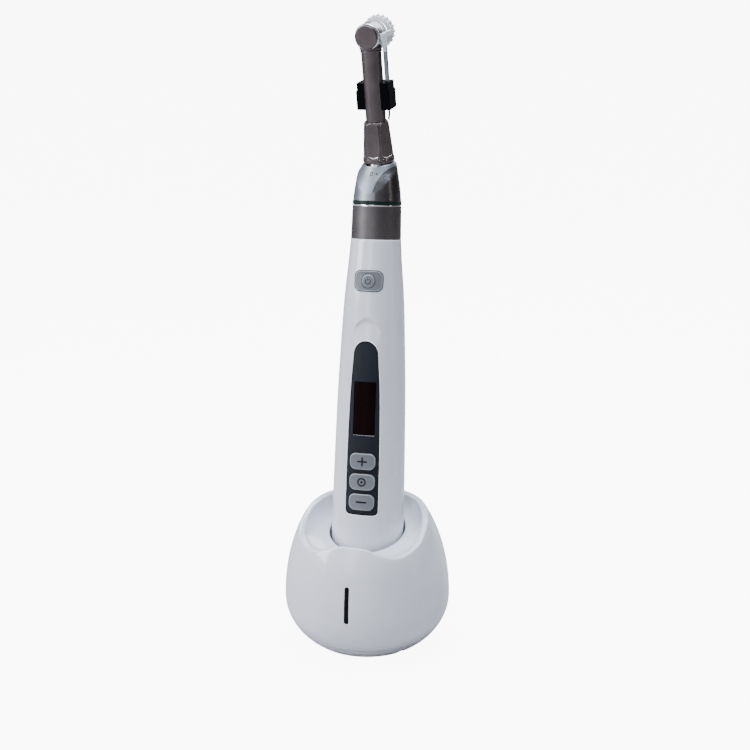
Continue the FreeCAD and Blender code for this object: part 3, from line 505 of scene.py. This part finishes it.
def dock_small_parts():
    """Tray under the dock with its screw wells, rubber foot, and the lens in the light slot."""
    low = 1.0
    outline = [(0, low), (17.2, low), (17.3, 1.9), (20.7, 1.9), (20.8, low)]
    steps = 22
    for k in range(steps + 1):
        z = low + (SPLIT_Z - 0.12 - low) * (k / steps) ** 1.3
        outline.append((dock_radius(z), z))
    for inset in (0.35, 2.0):
        outline.append((dock_radius(SPLIT_Z) - inset, SPLIT_Z - 0.06))
    tray = lathe("dock_tray", outline, 192)
    for x in (-19.0, 19.0):
        for y in (-16.0, 16.0):
            well = lathe("cutter", [(0, -1), (2.4, -1), (2.4, 6.0), (0, 6.0)], 40)
            well.data.transform(Matrix.Translation(Vector((x, y, 0)) * MM))
            cut_with(tray, well)
    finish_piece(tray, DOCK, "dock", [MATS["white_gloss"]], ("dock_bottom_tray",), 40)

    ring = rounded([(17.5, 1.8, 0), (17.5, 0.02, 0.45), (20.5, 0.02, 0.45), (20.5, 1.8, 0)])
    foot = lathe("dock_foot", ring, 160)
    finish_piece(foot, DOCK, "dock", [MATS["black_rubber"]], ("dock_foot_ring",))

    rows = [(0.0, 3.0), (0.0, 0.55), (0.25, 0.35), (0.6, 0.30), (0.97, 0.30)]
    verts, faces = [], []
    outline = densify(rounded_rect(LIGHT_HALF_W, LIGHT_HALF_H, 0.94), 0.5)
    count = len(outline)
    for inset, depth in rows:
        for x, z in outline:
            high = z * (LIGHT_HALF_H - inset) / LIGHT_HALF_H + LIGHT_Z
            wide = x * max(0.0, LIGHT_HALF_W - inset) / LIGHT_HALF_W
            verts.append((wide, -math.sqrt(dock_radius(high) ** 2 - wide * wide) + depth, high))
    for k in range(len(rows) - 1):
        for i in range(count):
            j = (i + 1) % count
            faces.append((k * count + i, k * count + j, (k + 1) * count + j, (k + 1) * count + i))
    lens = mesh_object("light_slot", verts, faces)
    finish_piece(lens, DOCK, "dock", [MATS["dark_lens"]], ("dock_light_pipe",), 60)


# ---- handpiece -----------------------------------------------------------------
def section(t):
    """Half width, front depth and back depth of the handpiece at a height."""
    return eased(STATIONS, t)


def thumb_dent(x, t):
    """Shallow scoop under the power key: steep at its arched top, fading out below."""
    low, half_w, deepest = 109.0, 5.6, 0.85
    arch = 119.4 - 0.14 * x * x
    if t > arch or t < low or abs(x) > half_w:
        return 0.0
    top = min(1.0, (arch - t) / 1.2)
    top = top * top * (3 - 2 * top)
    fade = max(0.0, min(1.0, (t - low) / 8.0))
    side = max(0.0, 1.0 - (abs(x) / half_w) ** 4)
    return deepest * top * fade * side


def front_y(x, t):
    """Where the handpiece's front lies, in Y, across from its middle and up."""
    w, d, _ = section(t)
    q = min(0.999, abs(x) / w)
    return -d * math.sqrt(1 - q * q)


def hull_point(t, a, inset):
    """A point of the handpiece's wall at a height and an angle, inset from the outside."""
    w, d, b = section(t)
    depth = d if math.sin(a) < 0 else b
    x = (w - inset) * math.cos(a)
    y = (depth - inset) * math.sin(a)
    if math.sin(a) < 0 and inset < 1.0:
        y += thumb_dent(x, t)
    return (x, y, t)


def half_shell(name, a0, a1):
    """Closed wall of one half of the handpiece, from angle a0 to a1."""
    across_n = 120
    verts, faces = [], []
    heights = [CAP_TOP + (BODY_TOP - CAP_TOP - 1.2) * k / 230 for k in range(231)]
    ladder = [(t, 0.0) for t in heights]
    for k in range(1, 7):
        a = math.pi / 2 * k / 6
        ladder.append((BODY_TOP - 0.5 + 0.45 * math.sin(a), 0.45 - 0.45 * math.cos(a)))
    ladder.append((BODY_TOP - 0.05, WALL * 0.8))
    ladder += [(t, WALL) for t in (BODY_TOP - 1.0, 120.0, 90.0, 60.0, 30.0, CAP_TOP)]
    rows = len(ladder)
    gap = 0.0018
    for t, inset in ladder:
        for s in range(across_n + 1):
            a = a0 + gap + (a1 - a0 - 2 * gap) * s / across_n
            verts.append(hull_point(t, a, inset))
    wide = across_n + 1
    for k in range(rows):
        n = (k + 1) % rows
        for s in range(across_n):
            faces.append((k * wide + s, k * wide + s + 1, n * wide + s + 1, n * wide + s))
    for s in (0, across_n):
        faces.append(tuple(k * wide + s for k in range(rows)))
    return mesh_object(name, verts, faces)


def panel_outline(inset=0.0):
    """Outline of the dark panel: square foot with round corners, slanting sides, arched top."""
    foot_t = PANEL_LOW + PANEL_CORNER
    foot_x = 7.0 - PANEL_CORNER
    side = ((foot_t, 7.0), (65.0, 6.8), (88.0, 6.25), (PANEL_ARCH_T, PANEL_TOP_R))
    steps = 40
    levels = [foot_t + (PANEL_ARCH_T - foot_t) * k / steps for k in range(1, steps)]
    out = []
    for k in range(9):
        a = math.radians(-90 + 90 * k / 8)
        out.append((foot_x - inset + PANEL_CORNER * math.cos(a), foot_t + inset + PANEL_CORNER * math.sin(a)))
    out += [(eased(side, t)[0] - inset, t) for t in levels]
    for k in range(25):
        a = math.pi * k / 24
        out.append(((PANEL_TOP_R - inset) * math.cos(a), PANEL_ARCH_T + (6.0 - inset) * math.sin(a)))
    out += [(inset - eased(side, t)[0], t) for t in reversed(levels)]
    for k in range(9):
        a = math.radians(180 + 90 * k / 8)
        out.append((inset - foot_x + PANEL_CORNER * math.cos(a), foot_t + inset + PANEL_CORNER * math.sin(a)))
    return densify(out, 0.9)


def pad(name, outline, centre_t, levels, bottom, crown=0.0):
    """A closed pad that follows the handpiece's front.

    outline is round (0, 0); levels are (inset, height, material) from its edge up and in;
    bottom is its depth and crown the extra height at its middle.
    """
    half_w = max(abs(x) for x, z in outline)
    half_h = max(abs(z) for x, z in outline)
    rings = [(0.0, -bottom, 0)] + list(levels)
    last = levels[-1]
    reach = min(half_w, half_h) - last[0]
    for k in range(1, 7):
        rings.append((last[0] + reach * k / 6.0, last[1] + crown * math.sin(math.pi / 2 * k / 6), last[2]))
    verts, faces, mats = [], [], []
    count = len(outline)
    for inset, height, _ in rings:
        sx = (half_w - inset) / half_w
        sz = (half_h - inset) / half_h
        for x, z in outline:
            px, pz = x * sx, centre_t + z * sz
            verts.append((px, front_y(px, pz) - height, pz))
    total = len(rings)
    for k in range(total - 1):
        for i in range(count):
            j = (i + 1) % count
            faces.append((k * count + i, k * count + j, (k + 1) * count + j, (k + 1) * count + i))
            mats.append(rings[k + 1][2])
    faces.append(tuple((total - 1) * count + i for i in range(count)))
    mats.append(rings[-1][2])
    faces.append(tuple(reversed(range(count))))
    mats.append(0)
    return mesh_object(name, verts, faces, mats)


# inset, height and material (0 face, 1 rim) of a key from its edge inwards
KEY_LEVELS = [(0.0, 0.16, 0), (0.07, 0.38, 0), (0.20, 0.53, 1), (0.38, 0.56, 1), (0.58, 0.52, 0),
              (0.85, 0.46, 0)]
MARK_HEIGHT = 0.495
POWER_MARK_HEIGHT = 0.53


def mark_bar(name, centre_t, half_w, half_h, body, height=MARK_HEIGHT):
    """A thin bar of raised ink on a key."""
    outline = densify(rounded_rect(half_w, half_h, min(half_w, half_h) * 0.9, 5), 0.3)
    obj = pad(name, outline, centre_t, [(0.0, height - 0.01, 0), (0.04, height, 0)], 0.0)
    return finish_piece(obj, HAND, body, [MATS["print_and_gap_shade"]])


def mark_ring(name, centre_t, r, thick, body, height=MARK_HEIGHT, gap=0.0):
    """A thin raised-ink ring; gap is the half-angle left open at its top, in degrees."""
    verts, faces = [], []
    count = 48
    for i in range(count + 1):
        a = math.radians(90 + gap + (360 - 2 * gap) * i / count)
        for radius in (r - thick / 2, r + thick / 2):
            x, z = radius * math.cos(a), centre_t + radius * math.sin(a)
            verts.append((x, front_y(x, z) - height, z))
            verts.append((x, front_y(x, z) - height + 0.2, z))
    for i in range(count):
        a, b = i * 4, i * 4 + 4
        faces += [(a, b, b + 2, a + 2), (a, a + 1, b + 1, b), (a + 2, b + 2, b + 3, a + 3)]
    obj = mesh_object(name, verts, faces)
    return finish_piece(obj, HAND, body, [MATS["print_and_gap_shade"]])


def bead(name, outline, r, body, material, lift=0.0):
    """A thin round bead along a closed outline on the front of the handpiece."""
    verts, faces = [], []
    count, sides = len(outline), 8
    for i in range(count):
        x, z = outline[i]
        ax, az = outline[i - 1]
        bx, bz = outline[(i + 1) % count]
        along = Vector((bx - ax, front_y(bx, bz) - front_y(ax, az), bz - az)).normalized()
        outward = along.cross(Vector((0, 1, 0))).normalized()
        lifted = along.cross(outward).normalized()
        centre = Vector((x, front_y(x, z) - lift, z))
        for k in range(sides):
            a = 2 * math.pi * k / sides
            verts.append(tuple(centre + outward * (r * math.cos(a)) + lifted * (r * math.sin(a))))
    for i in range(count):
        j = (i + 1) % count
        for k in range(sides):
            m = (k + 1) % sides
            faces.append((i * sides + k, i * sides + m, j * sides + m, j * sides + k))
    obj = mesh_object(name, verts, faces)
    return finish_piece(obj, HAND, body, [material], (), 0)


def handpiece():
    """Housings, panel, display, keys and power key."""
    front = half_shell("handpiece_front", math.pi, 2 * math.pi)
    cut_with(front, prism_cutter(panel_outline(-0.06), -30, -4.0))
    plate = [(x, z + POWER_T) for x, z in rounded_rect(5.96, 4.26, 2.6, 8)]
    cut_with(front, prism_cutter(plate, -30, -4.0))
    finish_piece(front, HAND, "handpiece", [MATS["white_gloss"]], ("front_housing",), 28)
    # painted highlight: a thin white ring round the top of the housing stands in for the bright line along
    # its rim
    top_highlight_r = 0.2
    lip = [(NOSE_R + x, BODY_TOP - 0.18 + z) for x, z in circle(top_highlight_r, 12)]
    edge = lathe("housing_top_highlight", lip + lip[:1], 160)
    finish_piece(edge, HAND, "handpiece", [MATS["white_painted_highlight"]], (), 0)
    rear = half_shell("handpiece_rear", 0.0, math.pi)
    finish_piece(rear, HAND, "handpiece", [MATS["white_gloss"]], ("rear_housing",), 28)

    middle = (PANEL_LOW + PANEL_HIGH) / 2
    outline = [(x, z - middle) for x, z in panel_outline(0.0)]
    # painted shade: the panel's side wall and outer bevel take the dark ink material, standing in for the
    # shade in the gap round the recess
    panel = pad("control_panel", outline, middle, [(0.0, -0.55, 1), (0.16, -0.38, 1), (0.34, -0.32, 0)], 1.4)
    for node, body, t in KEYS:
        hole = [(x, z + t) for x, z in rounded_rect(5.62, 3.62, 2.7)]
        cut_with(panel, prism_cutter(hole, -30, 0))
    glass = [(x, z + SCREEN_T) for x, z in rounded_rect(4.7, 11.3, 0.45)]
    cut_with(panel, prism_cutter(glass, -30, 0))
    finish_piece(panel, HAND, "handpiece", [MATS["panel_slate"], MATS["print_and_gap_shade"]],
                 ("display_panel",), 30)
    # painted highlight: a thin white bead round the panel recess stands in for light on its lip
    bead("panel_lip_highlight", panel_outline(-0.2), 0.2, "handpiece", MATS["white_painted_highlight"])
    screen = pad("display_glass", densify(rounded_rect(4.68, 11.28, 0.45), 0.6), SCREEN_T,
                 [(0.0, -0.72, 0), (0.10, -0.62, 0)], 1.3)
    finish_piece(screen, HAND, "handpiece", [MATS["screen_glass"]], ("display_window",))
    # painted highlight: a thin light strip under the window's lower edge stands in for light on the frame's
    # chamfer
    sill_highlight = pad("display_sill_highlight", densify(rounded_rect(4.5, 0.2, 0.15, 3), 0.5), 70.28,
               [(0.0, -0.42, 0), (0.05, -0.36, 0)], 0.9)
    finish_piece(sill_highlight, HAND, "handpiece", [MATS["key_rim"]])

    for node, body, t in KEYS:
        outline = densify(rounded_rect(5.46, 3.46, KEY_R, 10), 0.5)
        key = pad(node + "_cap", outline, t, KEY_LEVELS, 1.3)
        finish_piece(key, HAND, body, [MATS["key_grey"], MATS["key_rim"]], (node,), 60)
    mark_bar("plus_mark_a", 59.5, 2.1, 0.32, "plus_key")
    mark_bar("plus_mark_b", 59.5, 0.32, 1.95, "plus_key", 0.505)
    mark_bar("minus_mark", 42.2, 2.3, 0.36, "minus_key")
    mark_ring("select_mark", 50.8, 1.55, 0.6, "select_key")
    mark_bar("select_dot", 50.8, 0.5, 0.5, "select_key")

    outline = densify(rounded_rect(5.9, 4.2, 2.58, 10), 0.5)
    plate = pad("power_surround", outline, POWER_T,
                [(0.0, -0.05, 0), (0.14, 0.14, 1), (0.42, 0.2, 1), (0.75, 0.08, 0)], 1.6)
    cut_with(plate, prism_cutter([(x, z + POWER_T) for x, z in circle(3.0)], -30, 0))
    finish_piece(plate, HAND, "handpiece", [MATS["key_grey"], MATS["key_rim"]],
                 ("power_plate",), 40)
    # painted shade: a dark bead laid in the groove round the power plate
    groove_shade = [(x, z + POWER_T) for x, z in densify(rounded_rect(5.98, 4.28, 2.6, 10), 0.5)]
    bead("power_groove_shade", groove_shade, 0.15, "handpiece", MATS["print_and_gap_shade"], 0.03)
    knob = pad("power_knob", circle(2.72, 64), POWER_T,
               [(0.0, 0.10, 0), (0.12, 0.30, 1), (0.35, 0.44, 1), (0.7, 0.46, 0)], 1.1, 0.05)
    finish_piece(knob, HAND, "power_key", [MATS["key_grey"], MATS["key_rim"]],
                 ("power_button",), 60)
    mark_ring("power_mark_ring", POWER_T - 0.15, 1.05, 0.26, "power_key", POWER_MARK_HEIGHT, 34.0)
    mark_bar("power_mark_bar", POWER_T + 0.85, 0.14, 0.75, "power_key", POWER_MARK_HEIGHT)


# ---- metal parts ---------------------------------------------------------------
def soften(node, name, width, matrix, body, materials, angle=30.0, highlight_material=0):
    """A copy of a CAD node with its edges rounded, standing for the node."""
    source = frame["nodes"][node]
    mesh = source.data.copy()
    mesh.materials.clear()
    mesh.transform(matrix.inverted())
    obj = bpy.data.objects.new(name, mesh)
    bpy.context.scene.collection.objects.link(obj)
    bm = bmesh.new()
    bm.from_mesh(mesh)
    bmesh.ops.remove_doubles(bm, verts=bm.verts, dist=2e-6)
    bmesh.ops.dissolve_limit(bm, angle_limit=math.radians(0.4), verts=bm.verts, edges=bm.edges)
    bm.to_mesh(mesh)
    bm.free()
    bevel = obj.modifiers.new("edge", "BEVEL")
    bevel.width = width * MM
    bevel.segments = 3
    bevel.limit_method = "ANGLE"
    bevel.angle_limit = math.radians(angle)
    bevel.use_clamp_overlap = True
    # the bevel faces can take a brighter material, as a painted highlight along the edges
    bevel.material = highlight_material
    return finish_piece(obj, matrix, body, materials, (node,), 45)


def cone_skin():
    """Nose cone: a tapering skin cut by a flare about the leaning neck, so that the two run together."""
    wall = [(5.88, 167.12, 0), (9.98, 167.12, 0.15), (9.65, 171.0, 0.8), (8.95, 175.5, 0.8),
            (8.1, 180.4, 0.8), (7.3, 184.6, 0.8), (7.3, 190.0, 0), (5.6, 190.0, 0), (5.6, 178.2, 0),
            (5.88, 178.2, 0), (5.88, 167.12, 0)]
    skin = lathe("cone_skin", rounded(wall), 160)
    flare = [(0.0, -3.15, 0), (6.3, -3.15, 0.3), (6.75, -3.6, 0.3), (8.55, -6.1, 0.8), (11.0, -9.0, 0.8),
             (13.9, -12.9, 0.8), (20.0, -19.0, 0), (40.0, -19.0, 0), (40.0, 30.0, 0), (0.0, 30.0, 0)]
    cutter = lathe("flare_cutter", rounded(flare), 160)
    cutter.matrix_world = ANGLE.inverted() @ NECK
    cut_with(skin, cutter)
    tree = surface_of(skin, Matrix.Identity(4))
    finish_piece(skin, ANGLE, "contra_angle", [MATS["cone"]], ("angle_cone",), 45)
    cone_pictogram(tree)


def contra_angle():
    """Collar, ratio ring, cone, sleeve, neck and head, with the electrode's clip, arm and holder."""
    collar = rounded([(9.2, 151.55, 0), (10.4, 151.55, 0.12), (10.42, 151.9, 0.1), (10.13, 164.95, 0.1),
                      (9.95, 165.3, 0.08), (9.95, 165.52, 0.05), (5.9, 165.52, 0)])
    # painted highlight: the thin band at the collar's top edge takes the bright metal
    obj = lathe("nose_collar_skin", collar, 160, [(164.97, 165.6, 1)])
    finish_piece(obj, HAND, "handpiece", [MATS["collar_steel"], MATS["painted_highlight_metal"]],
                 ("nose_collar",), 40)
    ring = rounded([(6.0, 165.62, 0), (10.18, 165.62, 0.12), (10.18, 167.08, 0.12), (6.0, 167.08, 0)])
    obj = lathe("ratio_band", ring, 160)
    finish_piece(obj, ANGLE, "contra_angle", [MATS["green_ring"]], ("ratio_ring",), 40)

    cone_skin()
    # the sleeve's bevels take the second material, a painted highlight
    soften("taper_sleeve", "sleeve_skin", 0.16, NECK, "contra_angle",
           [MATS["satin_steel"], MATS["painted_highlight_metal"]], 6.0, 1)
    soften("neck_tube", "neck_skin", 0.1, NECK, "contra_angle", [MATS["satin_steel"]])
    swell = rounded([(3.9, 41.6, 0), (4.42, 41.75, 0.1), (4.42, 42.35, 0.1), (4.2, 42.5, 0.05),
                     (4.2, 42.7, 0.05), (4.55, 42.85, 0.1), (4.55, 43.5, 0.1), (3.9, 43.7, 0)])
    obj = lathe("neck_collar", swell, 96)
    finish_piece(obj, NECK, "contra_angle", [MATS["satin_steel"]], (), 40)
    soften("head_housing", "head_skin", 0.2, NECK, "contra_angle", [MATS["bright_steel"]])
    # the cap's bevels take the second material, a painted highlight
    soften("push_cap", "cap_skin", 0.14, NECK, "head_cap",
           [MATS["satin_steel"], MATS["painted_highlight_metal"]], 30.0, 1)
    soften("electrode_clip", "clip_skin", 0.25, NECK, "contra_angle",
           [MATS["black_plastic"]])
    soften("electrode_arm", "arm_skin", 0.12, NECK, "contra_angle", [MATS["arm_steel"]])
    soften("electrode_holder", "holder_skin", 0.15, NECK, "contra_angle",
           [MATS["clear_plastic"]])


def surface_of(source, matrix):
    """The faces of an object, in a frame, ready for finding points on them."""
    into = matrix.inverted() @ source.matrix_world
    return BVHTree.FromPolygons([into @ v.co for v in source.data.vertices],
                                [tuple(face.vertices) for face in source.data.polygons])


def on_surface(tree, angle, height, proud):
    """The point of a surface met by a line running inwards at an angle and height, in mm."""
    out = Vector((math.cos(angle), math.sin(angle), 0))
    place = tree.ray_cast(out * 0.02 + Vector((0, 0, height * MM)), -out)[0]
    return place / MM + out * proud


def facet_crescent_highlights():
    """Painted highlight: bright metal strips on the curved land where each flat of the sleeve runs out above
    its round foot, standing in for light caught there.
    """
    tree = surface_of(frame["nodes"]["taper_sleeve"], NECK)
    count = 20
    half_angle = math.radians(21.0)
    for flat in range(6):
        middle = math.radians(60.0 * flat + 30.0)
        verts, faces = [], []
        for k in range(count + 1):
            u = -1.0 + 2.0 * k / count
            angle = middle + half_angle * u
            sag = 1.0 - u * u
            for drop, proud in ((1.25 * sag, -0.1), (1.25 * sag, 0.04),
                                (0.55 * sag, 0.05), (0.55 * sag, -0.1)):
                verts.append(tuple(on_surface(tree, angle, 0.35 - drop, proud)))
        for k in range(count):
            for m in range(4):
                a, b = k * 4 + m, k * 4 + (m + 1) % 4
                faces.append((a, b, b + 4, a + 4))
        obj = mesh_object("sleeve_crescent_%d" % (flat + 1), verts, faces)
        finish_piece(obj, NECK, "contra_angle", [MATS["painted_highlight_metal"]], (), 0)


def cone_mark(name, tree, azimuth, t, r, hole):
    """A small dark ring or dot marked on the cone's front."""
    verts, faces = [], []
    count = 28
    cone_r = 8.0
    for i in range(count):
        a = 2 * math.pi * i / count
        for q in (max(hole, 0.01), r):
            angle = azimuth - math.pi / 2 + q * math.cos(a) / cone_r
            for proud in (0.04, -0.08):
                verts.append(tuple(on_surface(tree, angle, t + q * math.sin(a), proud)))
    for i in range(count):
        a, b = i * 4, ((i + 1) % count) * 4
        faces += [(a, b, b + 2, a + 2), (a, a + 1, b + 1, b), (a + 2, b + 2, b + 3, a + 3),
                  (a + 1, a + 3, b + 3, b + 1)]
    obj = mesh_object(name, verts, faces)
    return finish_piece(obj, ANGLE, "contra_angle", [MATS["print_and_gap_shade"]])


def cone_pictogram(tree):
    """Two rings and two dots, in a row on the cone's front."""
    middle = math.radians(8.0)
    step = math.radians(6.7)
    row_t = 178.0
    cone_mark("gear_mark_large", tree, middle - 1.6 * step, row_t, 0.80, 0.52)
    cone_mark("gear_mark_dot_low", tree, middle, row_t - 0.4, 0.17, 0.0)
    cone_mark("gear_mark_dot_high", tree, middle, row_t + 0.5, 0.17, 0.0)
    cone_mark("gear_mark_small", tree, middle + 1.4 * step, row_t, 0.50, 0.26)


# ---- the rest keeps its CAD shape ----------------------------------------------
def dress_nodes():
    """Give every CAD node the material of its slot."""
    slots = {entry["node"]: entry["material_slot"] for entry in frame["record"]["subparts"]}
    for name, obj in frame["nodes"].items():
        obj.data.materials.clear()
        obj.data.materials.append(MATS[slots[name]])


# ---- studio --------------------------------------------------------------------
def area_light(name, place, target, size, power, colour, height=None):
    """A rectangular soft light that faces its target."""
    data = bpy.data.lights.new(name, "AREA")
    data.shape = "RECTANGLE"
    data.size = size
    data.size_y = height or size
    data.energy = power
    data.color = colour
    obj = bpy.data.objects.new(name, data)
    bpy.context.scene.collection.objects.link(obj)
    obj.location = place
    direction = Vector(target) - Vector(place)
    obj.rotation_euler = direction.to_track_quat("-Z", "Y").to_euler()


def floor_material():
    """Plain white floor that reads as paper white to the camera and still takes a soft shadow."""
    m, nodes, links, bsdf = new_material("floor_white")
    links.new(two_tone(nodes, links, noise(nodes, links, 3.0), (0.42, 0.42, 0.43), (0.44, 0.44, 0.45)),
              bsdf.inputs["Base Color"])
    bsdf.inputs["Roughness"].default_value = 0.95
    bsdf.inputs["Specular IOR Level"].default_value = 0.05
    path = nodes.new("ShaderNodeLightPath")
    glow = nodes.new("ShaderNodeMath")
    glow.operation = "MULTIPLY"
    glow.inputs[1].default_value = PAPER_WHITE
    links.new(path.outputs["Is Camera Ray"], glow.inputs[0])
    bsdf.inputs["Emission Color"].default_value = (1, 1, 1, 1)
    links.new(glow.outputs["Value"], bsdf.inputs["Emission Strength"])
    return m


def studio():
    """Pale floor, a world that is cooler and lighter up and to the left, and five soft lights."""
    far = 9000
    floor = mesh_object("floor", [(-far, -far, 0), (far, -far, 0), (far, far, 0), (-far, far, 0)],
                        [(0, 1, 2, 3)])
    floor.data.materials.append(floor_material())

    world = bpy.data.worlds.new("studio")
    bpy.context.scene.world = world
    world.use_nodes = True
    nodes, links = world.node_tree.nodes, world.node_tree.links
    background = nodes["Background"]
    coord = nodes.new("ShaderNodeTexCoord")
    lean = nodes.new("ShaderNodeVectorMath")
    lean.operation = "DOT_PRODUCT"
    lean.inputs[1].default_value = (-0.80, -0.15, 0.58)
    links.new(coord.outputs["Generated"], lean.inputs[0])
    ramp = nodes.new("ShaderNodeValToRGB")
    half = nodes.new("ShaderNodeMapRange")
    half.inputs["From Min"].default_value = -1.0
    half.inputs["From Max"].default_value = 1.0
    links.new(lean.outputs["Value"], half.inputs["Value"])
    links.new(half.outputs["Result"], ramp.inputs["Fac"])
    ramp.color_ramp.elements[0].position = 0.15
    ramp.color_ramp.elements[0].color = (0.10, 0.075, 0.065, 1)
    ramp.color_ramp.elements[1].position = 0.95
    ramp.color_ramp.elements[1].color = (0.86, 0.90, 1.0, 1)
    links.new(ramp.outputs["Color"], background.inputs["Color"])
    background.inputs["Strength"].default_value = 0.95
    bright = nodes.new("ShaderNodeBackground")
    bright.inputs["Color"].default_value = (1, 1, 1, 1)
    bright.inputs["Strength"].default_value = PAPER_WHITE
    path = nodes.new("ShaderNodeLightPath")
    mix = nodes.new("ShaderNodeMixShader")
    links.new(path.outputs["Is Camera Ray"], mix.inputs["Fac"])
    links.new(background.outputs["Background"], mix.inputs[1])
    links.new(bright.outputs["Background"], mix.inputs[2])
    links.new(mix.outputs["Shader"], nodes["World Output"].inputs["Surface"])

    middle = (0, 0, 0.13)
    area_light("key", (-0.85, -0.50, 0.60), middle, 0.45, 12.5, (0.95, 0.97, 1.0), 0.9)
    area_light("strip", (-0.18, -0.95, 0.50), middle, 0.3, 1.6, (0.98, 0.98, 1.0), 0.7)
    area_light("edge", (0.95, -0.10, 0.30), middle, 0.08, 0.45, (1.0, 0.93, 0.90), 0.8)
    area_light("top", (0.05, 0.02, 1.0), (0, 0, 0.1), 0.6, 18.0, (0.84, 0.93, 1.0))
    area_light("back", (0.1, 0.85, 0.6), middle, 0.5, 3.0, (0.92, 0.96, 1))


def camera():
    """Camera in front of the dock, a little to the right and looking down, aimed just off the middle."""
    azimuth, pitch = math.radians(14.3), math.radians(15.3)
    away, height, aim_aside = 528.6, 262.4, 3.311
    yaw = math.atan(aim_aside / away)
    place = Vector((away * math.sin(azimuth), -away * math.cos(azimuth), height))
    ahead = Vector((-math.sin(azimuth), math.cos(azimuth), 0))
    side = Vector((math.cos(azimuth), math.sin(azimuth), 0))
    level = ahead * math.cos(yaw) + side * math.sin(yaw)
    right = side * math.cos(yaw) - ahead * math.sin(yaw)
    view = level * math.cos(pitch) - Vector((0, 0, math.sin(pitch)))
    up = level * math.sin(pitch) + Vector((0, 0, math.cos(pitch)))
    data = bpy.data.cameras.new("camera")
    data.sensor_width = 36.0
    data.lens = 63.36
    obj = bpy.data.objects.new("camera", data)
    bpy.context.scene.collection.objects.link(obj)
    m = Matrix((right, up, -view)).transposed().to_4x4()
    m.translation = place * MM
    obj.matrix_world = m
    bpy.context.scene.camera = obj


camera()
studio()
dress_nodes()
dock_shell()
dock_small_parts()
handpiece()
contra_angle()
facet_crescent_highlights()
